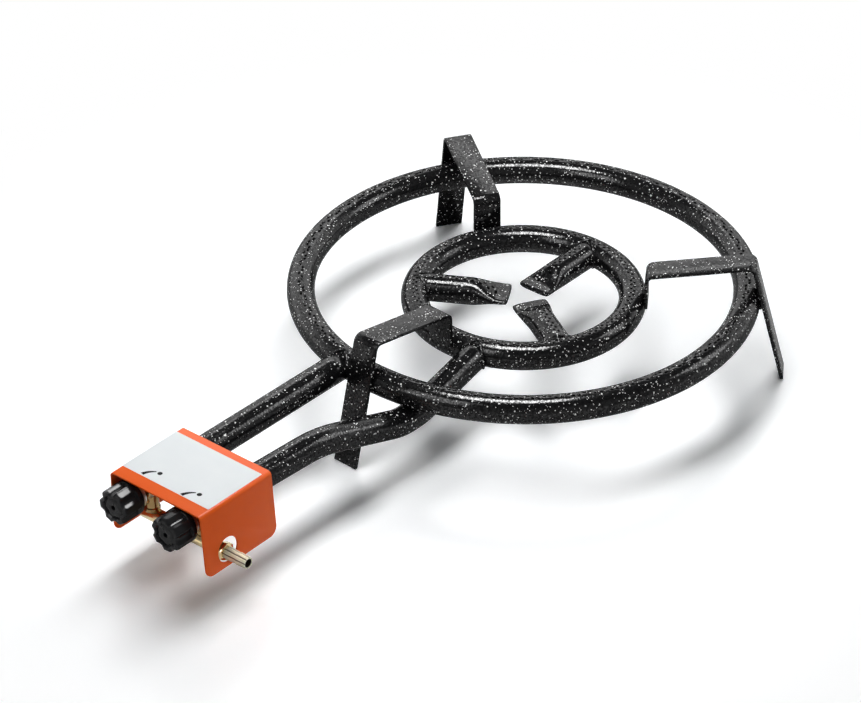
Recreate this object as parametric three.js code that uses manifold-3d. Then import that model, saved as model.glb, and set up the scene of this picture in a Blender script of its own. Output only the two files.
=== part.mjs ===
// Two-ring gas burner for paella pans, with two push-and-turn taps on a brass gas rail.
// Millimetres, +Z up. The knobs face -Y and the gas enters on the +X side.
// The origin is on the ground, in the middle of the box that the whole burner fills.

import * as THREE from 'three';
import { mergeVertices } from 'three/addons/utils/BufferGeometryUtils.js';
import Module from 'manifold-3d';

const wasm = await Module();
wasm.setup();

// Burner tube and rings
const tubeDiameter = 24;
const tubeWall = 1.8;
const outerRingDiameter = 400;
const innerRingDiameter = 208;
const ringPlaneHeight = 69.5;
const innerRingDrop = 12;
const weldGap = 0.3;

// Burner fingers inside the inner ring, with pressed ends
const rearFingerBearing = 90;
const leftFingerBearing = 210;
const rightFingerBearing = 330;
const fingerTipReach = 11.5;
const fingerTipWidth = 31;
const fingerTipThickness = 4.6;
const fingerPressedLength = 7;
const fingerTaperLength = 26;
const fingerTaperShares = [0.25, 0.5, 0.75];
const fingerSquarenessShare = 0.45;

// Feed tubes from the control box to the rings
const outerFeedClearance = 0.2;
const outerFeedDrift = 3;
const innerFeedInset = 23.5;
const innerFeedBendShift = 6.5;
const innerFeedBendReach = 283;
const innerFeedBendLength = 18;
const crossingShift = 10;
const crossingRun = 12;
const crossingBendLength = 9;
const innerFeedLandingBearing = -74;
const airSlotLength = 16;
const airSlotHeight = 7;
const airSlotSetback = 12;

// Pan brackets bent from flat bar, one leg on each ring
const frontBracketBearing = -92;
const rightBracketBearing = 34.3;
const leftBracketBearing = 147;
const rightBracketSideStep = -8;
const barWidth = 24;
const barThickness = 3;
const bracketOuterRise = 39.5;
const bracketInnerRise = 25;
const innerLegOutset = 10.5;
const bracketFootSplay = 28;
const bracketBendRadius = 3.5;
const innerLegDrop = 8.5;

// Control box folded from sheet, open at the front, the back and below
const boxWidth = 96;
const boxOffset = -8.5;
const boxFrontReach = 437.5;
const boxDepth = 80;
const boxHeight = 57;
const boxPlateFlare = 4;
const sheetThickness = 1.5;
const sheetBendRadius = 2;
const plateCornerRadius = 8;
const nozzleHoleRadius = 10.8;
const nozzleHoleForward = 1.5;
const nozzleHoleAbove = 5;

// Label on the box top
const labelWidth = 91.5;
const labelDepth = 60.5;
const labelThickness = 0.3;
const labelFrontMargin = 12;
const labelSideMargin = 1.7;

// Carrier bar that joins the box to the feed tubes, and its two screws
const carrierWidth = 20;
const carrierThickness = 5;
const carrierOverhang = 1;
const carrierSetback = 4;
const boxScrewSpacing = 16;
const boxScrewRadius = 2;
const boxScrewHeadRadius = 3.8;
const boxScrewHeadDepth = 1.3;
const boxScrewLength = 5.5;

// Gas rail, its end plug and the hose nozzle
const railDiameter = 12;
const railBoreDiameter = 8.6;
const railDrop = 28.5;
const railLeftOverhang = 10.5;
const railRightOverhang = 17;
const endPlugHeadLength = 2;
const endPlugSpigotLength = 6;
const washerThickness = 1;
const nozzleHexWidth = 14;
const nozzleHexLength = 6;
const nozzleSpigotLength = 6;
const nozzleBoreDiameter = 5.5;
const nozzleRootRadius = 4.4;
const nozzleBarbRadius = 5.1;
const nozzleBarbLength = 5.5;
const nozzleBarbCount = 4;
const nozzleBarbRiseShare = 0.25;

// Gas taps
const tapSetback = 10;
const bonnetThickness = 2.5;
const bonnetRadius = 12;
const flangeThickness = 4;
const barrelRadius = 9;
const barrelEnd = 28;
const neckRadius = 6;
const neckEnd = 31;
const outletRadius = 4.5;
const outletEnd = 41;
const outletBoreRadius = 2.5;
const chamberRadius = 7;
const chamberDepth = 11;
const plugSeatEnd = 25;
const plugLargeRadius = 6.8;
const plugSmallRadius = 5.2;
const portDepth = 17;
const portRadius = 1.9;
const lowFlamePortRadius = 0.5;
const inletLegRadius = 6;
const inletSpigotRadius = 3.2;
const inletSpigotProud = 2.5;
const runningClearance = 0.06;
const endClearance = 0.1;
const plugEndClearance = 0.3;

// Tap plug, spindle and return spring
const plugBossRadius = 4;
const plugBossLength = 3;
const slotWidth = 3.2;
const slotHeight = 6.6;
const slotDepth = 6.4;
const bladeWidth = 3;
const bladeHeight = 6.4;
const bladeEnd = 11.2;
const spindleRadius = 3;
const spindleFlatDepth = 1.2;
const spindleFlatLength = 14;
const collarRadius = 6;
const collarThickness = 2;
const springWireRadius = 0.45;
const springMeanRadius = 5.4;
const springCurls = 5;
const springStepsPerCurl = 8;
const springWireSides = 5;

// Bonnet screws
const bonnetScrewOffset = 9;
const bonnetScrewRadius = 1.5;
const bonnetScrewLength = 6;
const bonnetScrewHeadRadius = 2.5;
const bonnetScrewHeadHeight = 1.5;
const screwCrownWidthShare = 0.8;
const screwCrownHeightShare = 0.5;
const screwSlotWidth = 0.7;
const screwSlotDepth = 0.7;

// Injector and the bush that closes each feed tube
const bushThickness = 6;
const injectorSpigotLength = 4;
const injectorHeadRadius = 3.9;
const injectorHeadLength = 4;
const injectorNoseRadius = 2;
const injectorNoseLength = 2;
const injectorJetRadius = 0.5;

// Knobs
const knobProud = 26;
const knobDepth = 21;
const knobRadius = 15;
const knobLugCount = 6;
const knobLugDepth = 2.7;
const knobLugSharpnessShare = 1.4;
const knobStepsPerLug = 8;
const knobSkirtLength = 8;
const knobSkirtWall = 2.5;
const knobCavityDepth = 6;
const knobCapRadius = 10.5;
const knobCapHeight = 0.8;
const knobDimpleRadius = 2.2;
const knobDimpleDepth = 2;
const knobBossRadius = 5.2;
const knobBossRecess = 2.5;
const knobBoreDepth = 14.5;

// Facet counts and the merging distance
const outerRingSegments = 64;
const innerRingSegments = 44;
const tubeSides = 12;
const boreSides = 8;
const roundSides = 24;
const smallSides = 16;
const hexagonSides = 6;
const bendSteps = 4;
const innerFeedSteps = 24;
const cutOverrun = 2;
const mergingDistance = 0.0001;

// Where each burner finger and pan bracket stands round the rings, and each bracket's side-step
const fingerSides = [
  ['rear', rearFingerBearing],
  ['left', leftFingerBearing],
  ['right', rightFingerBearing],
];
const bracketSides = [
  ['front', frontBracketBearing, 0],
  ['right', rightBracketBearing, rightBracketSideStep],
  ['left', leftBracketBearing, 0],
];

// Sizes that follow from the driving ones
const tubeRadius = tubeDiameter / 2;
const tubeBoreRadius = tubeRadius - tubeWall;
const outerRingRadius = outerRingDiameter / 2 - tubeRadius;
const innerRingRadius = innerRingDiameter / 2 - tubeRadius;
const tapReach = boxFrontReach - tapSetback;
const feedStartReach = tapReach - (outletEnd - bushThickness);
const boxTop = tubeRadius + weldGap + carrierThickness + sheetThickness;
const boxBottom = boxTop - boxHeight;
const boxLeft = boxOffset - boxWidth / 2;
const boxRight = boxOffset + boxWidth / 2;
const outerFeedRoom = Math.max(knobRadius, tubeRadius + carrierOverhang + sheetBendRadius);
const outerFeedX = boxLeft + sheetThickness + outerFeedRoom + outerFeedClearance;
const innerFeedX = boxRight - innerFeedInset;
const innerFeedBendX = innerFeedX + innerFeedBendShift;
const crossingX = innerFeedBendX + crossingShift;
const carrierReach = boxFrontReach - boxDepth + carrierSetback + carrierWidth / 2;
const railRadius = railDiameter / 2;
const railBoreRadius = railBoreDiameter / 2;
const railReach = tapReach - portDepth;
const railLeft = outerFeedX - railLeftOverhang;
const railRight = innerFeedX + railRightOverhang;
const knobFaceReach = tapReach + knobProud;
const middleY = (knobFaceReach - (outerRingRadius + tubeRadius)) / 2;

// Finishes
const enamel = new THREE.MeshStandardMaterial({ color: 0x1c1c1e, roughness: 0.25, metalness: 0.1 });
const orangePaint = new THREE.MeshStandardMaterial({ color: 0xe8501e, roughness: 0.45, metalness: 0 });
const whiteLabel = new THREE.MeshStandardMaterial({ color: 0xeef1f0, roughness: 0.6, metalness: 0 });
const brass = new THREE.MeshStandardMaterial({ color: 0xc9a24a, roughness: 0.3, metalness: 1 });
const zincSteel = new THREE.MeshStandardMaterial({ color: 0xb4b6b8, roughness: 0.4, metalness: 1 });
const springSteel = new THREE.MeshStandardMaterial({ color: 0x9a9c9f, roughness: 0.35, metalness: 1 });
const blackPlastic = new THREE.MeshStandardMaterial({ color: 0x161617, roughness: 0.35, metalness: 0 });
const fibreSeal = new THREE.MeshStandardMaterial({ color: 0x7c4a2e, roughness: 0.8, metalness: 0 });

// Merges shared corners, drops collapsed triangles and turns the faces outwards.
function closed(geometry) {
  const bare = geometry.clone();
  bare.deleteAttribute('normal');
  bare.deleteAttribute('uv');
  const merged = mergeVertices(bare, mergingDistance);
  const corners = merged.index.array;
  const kept = [];
  for (let i = 0; i < corners.length; i += 3) {
    const [a, b, c] = [corners[i], corners[i + 1], corners[i + 2]];
    if (a !== b && b !== c && c !== a) kept.push(a, b, c);
  }
  merged.setIndex(signedVolume(merged, kept) < 0 ? kept.reverse() : kept);
  return merged;
}

function signedVolume(geometry, corners) {
  const place = geometry.attributes.position;
  const [a, b, c] = [new THREE.Vector3(), new THREE.Vector3(), new THREE.Vector3()];
  let total = 0;
  for (let i = 0; i < corners.length; i += 3) {
    a.fromBufferAttribute(place, corners[i]);
    b.fromBufferAttribute(place, corners[i + 1]);
    c.fromBufferAttribute(place, corners[i + 2]);
    total += a.dot(b.cross(c)) / 6;
  }
  return total;
}

function solidFrom(geometry) {
  const merged = closed(geometry);
  return new wasm.Manifold(new wasm.Mesh({
    numProp: 3,
    vertProperties: new Float32Array(merged.attributes.position.array),
    triVerts: new Uint32Array(merged.index.array),
  }));
}

function geometryFrom(solid) {
  const mesh = solid.getMesh();
  const geometry = new THREE.BufferGeometry();
  geometry.setAttribute('position', new THREE.BufferAttribute(mesh.vertProperties, 3));
  geometry.setIndex(new THREE.BufferAttribute(mesh.triVerts, 1));
  return geometry;
}

function cut(geometry, ...tools) {
  let solid = solidFrom(geometry);
  for (const tool of tools) solid = solid.subtract(solidFrom(tool));
  return geometryFrom(solid);
}

function joined(...geometries) {
  const [first, ...rest] = geometries.map(solidFrom);
  return geometryFrom(rest.reduce((sum, solid) => sum.add(solid), first));
}

// The corner radius of a polygon whose flats clear a round piece of this radius.
function around(radius, clearance, sides) {
  return (radius + clearance) / Math.cos(Math.PI / sides);
}

// The corner radius of a polygon that fits inside a faceted round hole of this radius.
function within(radius, clearance, sides) {
  return (radius - clearance) * Math.cos(Math.PI / sides);
}

function rodAlongY(radius, from, to, sides = roundSides) {
  return new THREE.CylinderGeometry(radius, radius, to - from, sides).translate(0, (from + to) / 2, 0);
}

function rodAlongX(radius, from, to, sides = roundSides) {
  return rodAlongY(radius, from, to, sides).rotateZ(-Math.PI / 2);
}

function rodAlongZ(radius, from, to, sides = roundSides) {
  return rodAlongY(radius, from, to, sides).rotateX(Math.PI / 2);
}

function block(from, to) {
  const size = to.map((value, axis) => Math.abs(value - from[axis]));
  const middle = to.map((value, axis) => (value + from[axis]) / 2);
  return new THREE.BoxGeometry(...size).translate(...middle);
}

// A solid of revolution about Y, from pairs of radius and height.
function turned(profile, sides = roundSides) {
  return new THREE.LatheGeometry(profile.map(([r, y]) => new THREE.Vector2(r, y)), sides);
}

function washer(inside, outside, from, to, sides = roundSides) {
  return turned([[inside, from], [outside, from], [outside, to], [inside, to], [inside, from]], sides);
}

function ring(radius, sectionRadius, sides, segments) {
  return new THREE.TorusGeometry(radius, sectionRadius, sides, segments);
}

// The room that a ring takes up, with the welding gap round it.
function outerRingRoom() {
  return ring(outerRingRadius, around(tubeRadius, weldGap, tubeSides), tubeSides, outerRingSegments);
}

function innerRingRoom() {
  return ring(innerRingRadius, around(tubeRadius, weldGap, tubeSides), tubeSides, innerRingSegments)
    .translate(0, 0, -innerRingDrop);
}

function piece(parent, name, geometry, material) {
  const tidy = closed(geometry);
  tidy.computeVertexNormals();
  const mesh = new THREE.Mesh(tidy, material);
  mesh.name = name;
  parent.add(mesh);
  return mesh;
}

function radians(degrees) {
  return THREE.MathUtils.degToRad(degrees);
}

function onBearing(bearing, reach, height) {
  const angle = radians(bearing);
  return new THREE.Vector3(reach * Math.cos(angle), reach * Math.sin(angle), height);
}

// Burner rings: hollow tube bent round, open where gas comes in or goes on.

function outerRing() {
  const tube = ring(outerRingRadius, tubeRadius, tubeSides, outerRingSegments);
  const bore = ring(outerRingRadius, tubeBoreRadius, boreSides, outerRingSegments);
  const inlet = rodBetween(outerFeedLanding(), outerFeedStart(), tubeBoreRadius, boreSides);
  return cut(tube, bore, inlet);
}

function outerFeedStart() {
  return new THREE.Vector3(outerFeedX, -feedStartReach, 0);
}

function outerFeedLanding() {
  const x = outerFeedX + outerFeedDrift;
  return new THREE.Vector3(x, -Math.sqrt(outerRingRadius ** 2 - x ** 2), 0);
}

function innerRing() {
  const tube = ring(innerRingRadius, tubeRadius, tubeSides, innerRingSegments);
  const bore = ring(innerRingRadius, tubeBoreRadius, boreSides, innerRingSegments);
  const fingerPorts = fingerSides.map(([, bearing]) =>
    rodAlongX(tubeBoreRadius, innerRingRadius - tubeDiameter, innerRingRadius, boreSides)
      .rotateZ(radians(bearing)));
  const inlet = rodBetween(innerFeedLanding(), innerFeedCorners().at(-2), tubeBoreRadius, boreSides)
    .translate(0, 0, innerRingDrop);
  return cut(tube, bore, inlet, ...fingerPorts).translate(0, 0, -innerRingDrop);
}

function rodBetween(from, to, radius, sides) {
  const length = from.distanceTo(to);
  const direction = to.clone().sub(from).normalize();
  const turn = new THREE.Quaternion().setFromUnitVectors(new THREE.Vector3(0, 1, 0), direction);
  return rodAlongY(radius, 0, length, sides).applyQuaternion(turn).translate(from.x, from.y, from.z);
}

// Burner finger: a tube along +X whose inner end is pressed flat.

function finger() {
  const flatStart = fingerTipReach + fingerPressedLength;
  const taperStart = flatStart + fingerTaperLength;
  const sections = [fingerSection(innerRingRadius, 0), fingerSection(taperStart, 0)];
  for (const share of fingerTaperShares) {
    const smooth = share * share * (3 - 2 * share);
    sections.push(fingerSection(taperStart - share * fingerTaperLength, smooth));
  }
  sections.push(fingerSection(flatStart, 1), fingerSection(fingerTipReach, 1));
  const bore = rodAlongX(tubeBoreRadius, taperStart, innerRingRadius + cutOverrun, boreSides);
  const tube = cut(lofted(sections), bore).translate(0, 0, -innerRingDrop);
  return cut(tube, innerRingRoom());
}

function fingerSection(reach, pressed) {
  const halfWidth = THREE.MathUtils.lerp(tubeRadius, fingerTipWidth / 2, pressed);
  const halfHeight = THREE.MathUtils.lerp(tubeRadius, fingerTipThickness / 2, pressed);
  const squareness = THREE.MathUtils.lerp(1, fingerSquarenessShare, pressed);
  const points = [];
  for (let i = 0; i < roundSides; i += 1) {
    const angle = (2 * Math.PI * i) / roundSides;
    const across = Math.sign(Math.cos(angle)) * Math.abs(Math.cos(angle)) ** squareness;
    const up = Math.sign(Math.sin(angle)) * Math.abs(Math.sin(angle)) ** squareness;
    points.push(new THREE.Vector3(reach, halfWidth * across, halfHeight * up));
  }
  return points;
}

// A closed skin through sections that hold the same number of points.
function lofted(sections) {
  const count = sections[0].length;
  const places = sections.flat().flatMap((point) => point.toArray());
  const corners = [];
  for (let s = 0; s < sections.length - 1; s += 1) {
    for (let i = 0; i < count; i += 1) {
      const [a, b] = [s * count + i, s * count + ((i + 1) % count)];
      corners.push(a, b, a + count, b, b + count, a + count);
    }
  }
  const last = (sections.length - 1) * count;
  for (let i = 1; i < count - 1; i += 1) {
    corners.push(0, i + 1, i, last, last + i, last + i + 1);
  }
  const geometry = new THREE.BufferGeometry();
  geometry.setAttribute('position', new THREE.Float32BufferAttribute(places, 3));
  geometry.setIndex(corners);
  return geometry;
}

// Feed tubes: the outer one is straight, the inner one dips under the outer ring.

function outerFeed() {
  const start = outerFeedStart();
  const landing = outerFeedLanding();
  const overrun = landing.clone().sub(start).setLength(cutOverrun);
  const tube = rodBetween(start, landing, tubeRadius, tubeSides);
  const boreStart = start.clone().sub(overrun);
  const boreEnd = landing.clone().add(overrun);
  const bore = rodBetween(boreStart, boreEnd, tubeBoreRadius, boreSides);
  return cut(tube, bore, airSlots(outerFeedX), outerRingRoom());
}

function airSlots(x) {
  const from = airSlotSetback - feedStartReach;
  return block(
    [x - tubeDiameter, from, -airSlotHeight / 2],
    [x + tubeDiameter, from + airSlotLength, airSlotHeight / 2],
  );
}

function innerFeedLanding() {
  return onBearing(innerFeedLandingBearing, innerRingRadius, -innerRingDrop);
}

function innerFeedCorners() {
  const start = new THREE.Vector3(innerFeedX, -feedStartReach, 0);
  const bend = new THREE.Vector3(innerFeedBendX, -innerFeedBendReach, 0);
  const crossingY = -Math.sqrt(outerRingRadius ** 2 - crossingX ** 2);
  const crossing = new THREE.Vector3(crossingX, crossingY, -(tubeDiameter + weldGap));
  const landing = innerFeedLanding();
  const before = levelDirection(bend, crossing).multiplyScalar(-crossingRun).add(crossing);
  const after = levelDirection(crossing, landing).multiplyScalar(crossingRun).add(crossing);
  return [start, bend, before, after, landing];
}

function levelDirection(from, to) {
  return new THREE.Vector3(to.x - from.x, to.y - from.y, 0).normalize();
}

// A path of straight runs whose corners are rounded off over the given lengths.
function roundedPath(corners, bendLengths) {
  const path = new THREE.CurvePath();
  let here = corners[0];
  for (let i = 1; i < corners.length - 1; i += 1) {
    const corner = corners[i];
    const enter = corner.clone().add(corners[i - 1].clone().sub(corner).setLength(bendLengths[i - 1]));
    const leave = corner.clone().add(corners[i + 1].clone().sub(corner).setLength(bendLengths[i - 1]));
    path.add(new THREE.LineCurve3(here, enter));
    path.add(new THREE.QuadraticBezierCurve3(enter, corner, leave));
    here = leave;
  }
  path.add(new THREE.LineCurve3(here, corners.at(-1)));
  return path;
}

function innerFeed() {
  const bendLengths = [innerFeedBendLength, crossingBendLength, crossingBendLength];
  const path = roundedPath(innerFeedCorners(), bendLengths);
  const section = new THREE.Shape().absarc(0, 0, tubeRadius, 0, 2 * Math.PI, false);
  section.holes.push(new THREE.Path().absarc(0, 0, tubeBoreRadius, 0, 2 * Math.PI, true));
  const tube = new THREE.ExtrudeGeometry(section, {
    extrudePath: path,
    steps: innerFeedSteps,
    curveSegments: tubeSides,
  });
  return cut(tube, innerRingRoom(), airSlots(innerFeedX));
}

// Pan bracket: flat bar bent twice. The profile lies in X and Z, X being the reach from the centre.
// A side-step sets the bar off the line from the centre, along Y.

function bracket(sideStep) {
  const legHeight = ringPlaneHeight + bracketOuterRise;
  const lean = Math.atan(bracketFootSplay / legHeight);
  const seat = tubeRadius + weldGap + barThickness;
  const topReach = outerRingRadius + (seat - bracketOuterRise * Math.sin(lean)) / Math.cos(lean);
  const innerReach = innerRingRadius + innerLegOutset;
  const strip = bentStrip([
    [topReach + bracketFootSplay, -ringPlaneHeight],
    [topReach, bracketOuterRise],
    [innerReach, bracketInnerRise],
    [innerReach, -innerLegDrop - innerRingDrop],
  ], barThickness, bracketBendRadius);
  const bar = new THREE.ExtrudeGeometry(strip, { depth: barWidth, bevelEnabled: false })
    .rotateX(Math.PI / 2)
    .translate(0, barWidth / 2 + sideStep, 0);
  const legTrim = block(
    [innerRingRadius - tubeDiameter, -barWidth, -innerRingDrop - tubeDiameter],
    [innerReach + tubeRadius, barWidth, -innerLegDrop],
  );
  return cut(bar, innerRingRoom(), legTrim);
}

// The outline of a strip of this thickness, on the left of a line of corners, with bent corners.
// Its first end is cut level, along X.
function bentStrip(corners, thickness, insideRadius) {
  const line = corners.map(([x, y]) => new THREE.Vector2(x, y));
  const outside = [line[0]];
  const inside = [];
  const firstDirection = line[1].clone().sub(line[0]).normalize();
  const firstSide = leftOf(firstDirection);
  const firstOffset = line[0].clone().addScaledVector(firstSide, thickness);
  inside.push(firstOffset.addScaledVector(firstDirection, (line[0].y - firstOffset.y) / firstDirection.y));
  for (let i = 1; i < line.length - 1; i += 1) {
    const arrive = line[i].clone().sub(line[i - 1]).normalize();
    const depart = line[i + 1].clone().sub(line[i]).normalize();
    const turn = Math.acos(arrive.dot(depart));
    const radius = insideRadius + thickness;
    const centre = line[i].clone()
      .addScaledVector(arrive, -radius * Math.tan(turn / 2))
      .addScaledVector(leftOf(arrive), radius);
    const startAngle = leftOf(arrive).angle() + Math.PI;
    for (let step = 0; step <= bendSteps; step += 1) {
      const angle = startAngle + (turn * step) / bendSteps;
      const spoke = new THREE.Vector2(Math.cos(angle), Math.sin(angle));
      outside.push(centre.clone().addScaledVector(spoke, radius));
      inside.push(centre.clone().addScaledVector(spoke, insideRadius));
    }
  }
  const lastDirection = line.at(-1).clone().sub(line.at(-2)).normalize();
  outside.push(line.at(-1));
  inside.push(line.at(-1).clone().addScaledVector(leftOf(lastDirection), thickness));
  return new THREE.Shape([...outside, ...inside.reverse()]);
}

function leftOf(direction) {
  return new THREE.Vector2(-direction.y, direction.x);
}

// Control box: one sheet folded down at both sides.

function controlBox() {
  const strip = bentStrip([
    [boxRight + boxPlateFlare, boxBottom],
    [boxRight, boxTop],
    [boxLeft, boxTop],
    [boxLeft, boxBottom],
  ], sheetThickness, sheetBendRadius);
  const sheet = new THREE.ExtrudeGeometry(strip, { depth: boxDepth, bevelEnabled: false })
    .rotateX(Math.PI / 2)
    .translate(0, boxDepth - boxFrontReach, 0);
  const nozzleHole = rodAlongX(nozzleHoleRadius, boxRight - plateCornerRadius, boxRight + plateCornerRadius)
    .translate(0, -railReach - nozzleHoleForward, nozzleHoleAbove - railDrop);
  const screwHoles = boxScrewPlaces().map(([x, y]) => boxScrewHole().translate(x, y, boxTop));
  return cut(sheet, nozzleHole, ...plateCornerTools(), ...screwHoles);
}

// Cutters along X that round the lower corners of both side plates.
function plateCornerTools() {
  const ends = [[-boxFrontReach, 1], [boxDepth - boxFrontReach, -1]];
  return ends.map(([edge, inward]) => {
    const square = block(
      [boxLeft - cutOverrun, edge - inward * cutOverrun, boxBottom - cutOverrun],
      [
        boxRight + boxPlateFlare + cutOverrun,
        edge + inward * plateCornerRadius,
        boxBottom + plateCornerRadius,
      ],
    );
    const round = rodAlongX(plateCornerRadius, boxLeft - tubeRadius, boxRight + tubeRadius)
      .translate(0, edge + inward * plateCornerRadius, boxBottom + plateCornerRadius);
    return cut(square, round);
  });
}

function label() {
  const left = boxLeft + labelSideMargin;
  const front = -boxFrontReach + labelFrontMargin;
  return block([left, front, boxTop], [left + labelWidth, front + labelDepth, boxTop + labelThickness]);
}

// Carrier bar: lies on both feed tubes under the box top.

function carrierBar() {
  const left = outerFeedX - tubeRadius - carrierOverhang;
  const right = innerFeedX + tubeRadius + carrierOverhang;
  const underside = tubeRadius + weldGap;
  const bar = block(
    [left, -carrierReach - carrierWidth / 2, underside],
    [right, -carrierReach + carrierWidth / 2, underside + carrierThickness],
  );
  const holes = boxScrewPlaces().map(([x, y]) => boxScrewHole().translate(x, y, boxTop));
  return cut(bar, ...holes);
}

function boxScrewPlaces() {
  const middle = (outerFeedX + innerFeedX) / 2;
  return [-1, 1].map((side) => [middle + (side * boxScrewSpacing) / 2, -carrierReach]);
}

// Countersunk screw and the hole for it, both hanging down from the box top.
function boxScrew() {
  return turned([
    [0, -runningClearance],
    [boxScrewHeadRadius, -runningClearance],
    [boxScrewRadius, -boxScrewHeadDepth],
    [boxScrewRadius, -boxScrewLength],
    [0, -boxScrewLength],
  ], smallSides).rotateX(Math.PI / 2);
}

function boxScrewHole() {
  const headRadius = around(boxScrewHeadRadius, runningClearance, smallSides);
  const shankRadius = around(boxScrewRadius, runningClearance, smallSides);
  return turned([
    [0, cutOverrun],
    [headRadius, cutOverrun],
    [headRadius, -runningClearance],
    [shankRadius, -boxScrewHeadDepth - runningClearance],
    [shankRadius, -boxScrewLength - runningClearance],
    [0, -boxScrewLength - runningClearance],
  ], smallSides).rotateX(Math.PI / 2);
}

// Gas rail: brass tube along X, open at both ends, with a seat for each tap.

function gasRail() {
  const tube = rodAlongX(railRadius, railLeft, railRight);
  const bore = rodAlongX(railBoreRadius, railLeft - cutOverrun, railRight + cutOverrun);
  const seatRadius = around(inletSpigotRadius, runningClearance, smallSides);
  const seats = [outerFeedX, innerFeedX].map((x) =>
    rodAlongZ(seatRadius, 0, railDiameter, smallSides).translate(x, 0, 0));
  return cut(tube, bore, ...seats);
}

function endPlug() {
  const spigotRadius = within(railBoreRadius, runningClearance, roundSides);
  return turned([
    [0, railLeft - endPlugHeadLength],
    [railRadius, railLeft - endPlugHeadLength],
    [railRadius, railLeft],
    [spigotRadius, railLeft],
    [spigotRadius, railLeft + endPlugSpigotLength],
    [0, railLeft + endPlugSpigotLength],
  ]).rotateZ(-Math.PI / 2);
}

function nozzleWasher() {
  return washer(railBoreRadius, railRadius, railRight, railRight + washerThickness).rotateZ(-Math.PI / 2);
}

// Hose nozzle: a hexagon and a run of barbs, bored through.

function hoseNozzle() {
  const hexStart = railRight + washerThickness;
  const hexEnd = hexStart + nozzleHexLength;
  const tip = hexEnd + nozzleBarbCount * nozzleBarbLength;
  const spigotRadius = within(railBoreRadius, runningClearance, roundSides);
  const spigotStart = hexStart - nozzleSpigotLength;
  const profile = [
    [0, spigotStart],
    [spigotRadius, spigotStart],
    [spigotRadius, hexEnd],
    [nozzleRootRadius, hexEnd],
  ];
  for (let i = 0; i < nozzleBarbCount; i += 1) {
    const barbStart = hexEnd + i * nozzleBarbLength;
    profile.push([nozzleBarbRadius, barbStart + nozzleBarbRiseShare * nozzleBarbLength]);
    profile.push([nozzleRootRadius, barbStart + nozzleBarbLength]);
  }
  profile.push([0, tip]);
  const hexagon = rodAlongY(around(nozzleHexWidth / 2, 0, hexagonSides), hexStart, hexEnd, hexagonSides);
  const bore = rodAlongY(nozzleBoreDiameter / 2, spigotStart - cutOverrun, tip + cutOverrun, smallSides);
  return cut(joined(turned(profile), hexagon), bore).rotateZ(-Math.PI / 2);
}

// Tap pieces: Y runs back from the front face of the tap body, which is Y = 0.

function tapBody() {
  const barrel = turned([
    [0, 0],
    [bonnetRadius, 0],
    [bonnetRadius, flangeThickness],
    [barrelRadius, flangeThickness],
    [barrelRadius, barrelEnd],
    [neckRadius, barrelEnd],
    [neckRadius, neckEnd],
    [outletRadius, neckEnd],
    [outletRadius, outletEnd],
    [0, outletEnd],
  ]);
  const leg = cut(
    rodAlongZ(inletLegRadius, -railDrop, -barrelRadius / 2).translate(0, portDepth, 0),
    rodAlongX(around(railRadius, weldGap, roundSides), -railDiameter, railDiameter)
      .translate(0, portDepth, -railDrop),
  );
  const spigotEnd = -railDrop + railRadius - inletSpigotProud;
  const spigot = rodAlongZ(inletSpigotRadius, spigotEnd, -barrelRadius / 2, smallSides)
    .translate(0, portDepth, 0);
  const inside = turned([
    [0, -cutOverrun],
    [chamberRadius, -cutOverrun],
    [chamberRadius, chamberDepth],
    [plugLargeRadius, chamberDepth],
    [plugSmallRadius, plugSeatEnd],
    [outletBoreRadius, plugSeatEnd],
    [outletBoreRadius, outletEnd + cutOverrun],
    [0, outletEnd + cutOverrun],
  ]);
  const gasWay = rodAlongZ(portRadius, spigotEnd - cutOverrun, 0, smallSides)
    .translate(0, portDepth, 0);
  const screwHoles = [-1, 1].map((side) =>
    rodAlongY(
      around(bonnetScrewRadius, runningClearance, smallSides),
      -cutOverrun,
      flangeThickness + cutOverrun,
      smallSides,
    ).translate(side * bonnetScrewOffset, 0, 0));
  return cut(joined(barrel, leg, spigot), inside, gasWay, ...screwHoles);
}

function tapBonnet() {
  const plate = washer(
    around(spindleRadius, runningClearance, roundSides),
    bonnetRadius,
    -bonnetThickness,
    0,
  );
  const holes = [-1, 1].map((side) =>
    rodAlongY(
      around(bonnetScrewRadius, runningClearance, smallSides),
      -bonnetThickness - cutOverrun,
      cutOverrun,
      smallSides,
    ).translate(side * bonnetScrewOffset, 0, 0));
  return cut(plate, ...holes);
}

function bonnetScrew() {
  const front = -bonnetThickness - bonnetScrewHeadHeight;
  const screw = turned([
    [0, front],
    [screwCrownWidthShare * bonnetScrewHeadRadius, front],
    [bonnetScrewHeadRadius, front + screwCrownHeightShare * bonnetScrewHeadHeight],
    [bonnetScrewHeadRadius, -bonnetThickness],
    [bonnetScrewRadius, -bonnetThickness],
    [bonnetScrewRadius, -bonnetThickness + bonnetScrewLength],
    [0, -bonnetThickness + bonnetScrewLength],
  ], smallSides);
  const slot = block(
    [-bonnetScrewHeadRadius - cutOverrun, front - cutOverrun, -screwSlotWidth / 2],
    [bonnetScrewHeadRadius + cutOverrun, front + screwSlotDepth, screwSlotWidth / 2],
  );
  return cut(screw, slot);
}

// Tap plug: a tapered cock. Its main port faces -X when shut and meets the inlet below after a
// quarter turn to the left. Its low-flame port, above at rest, meets the inlet after a half turn.

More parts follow.
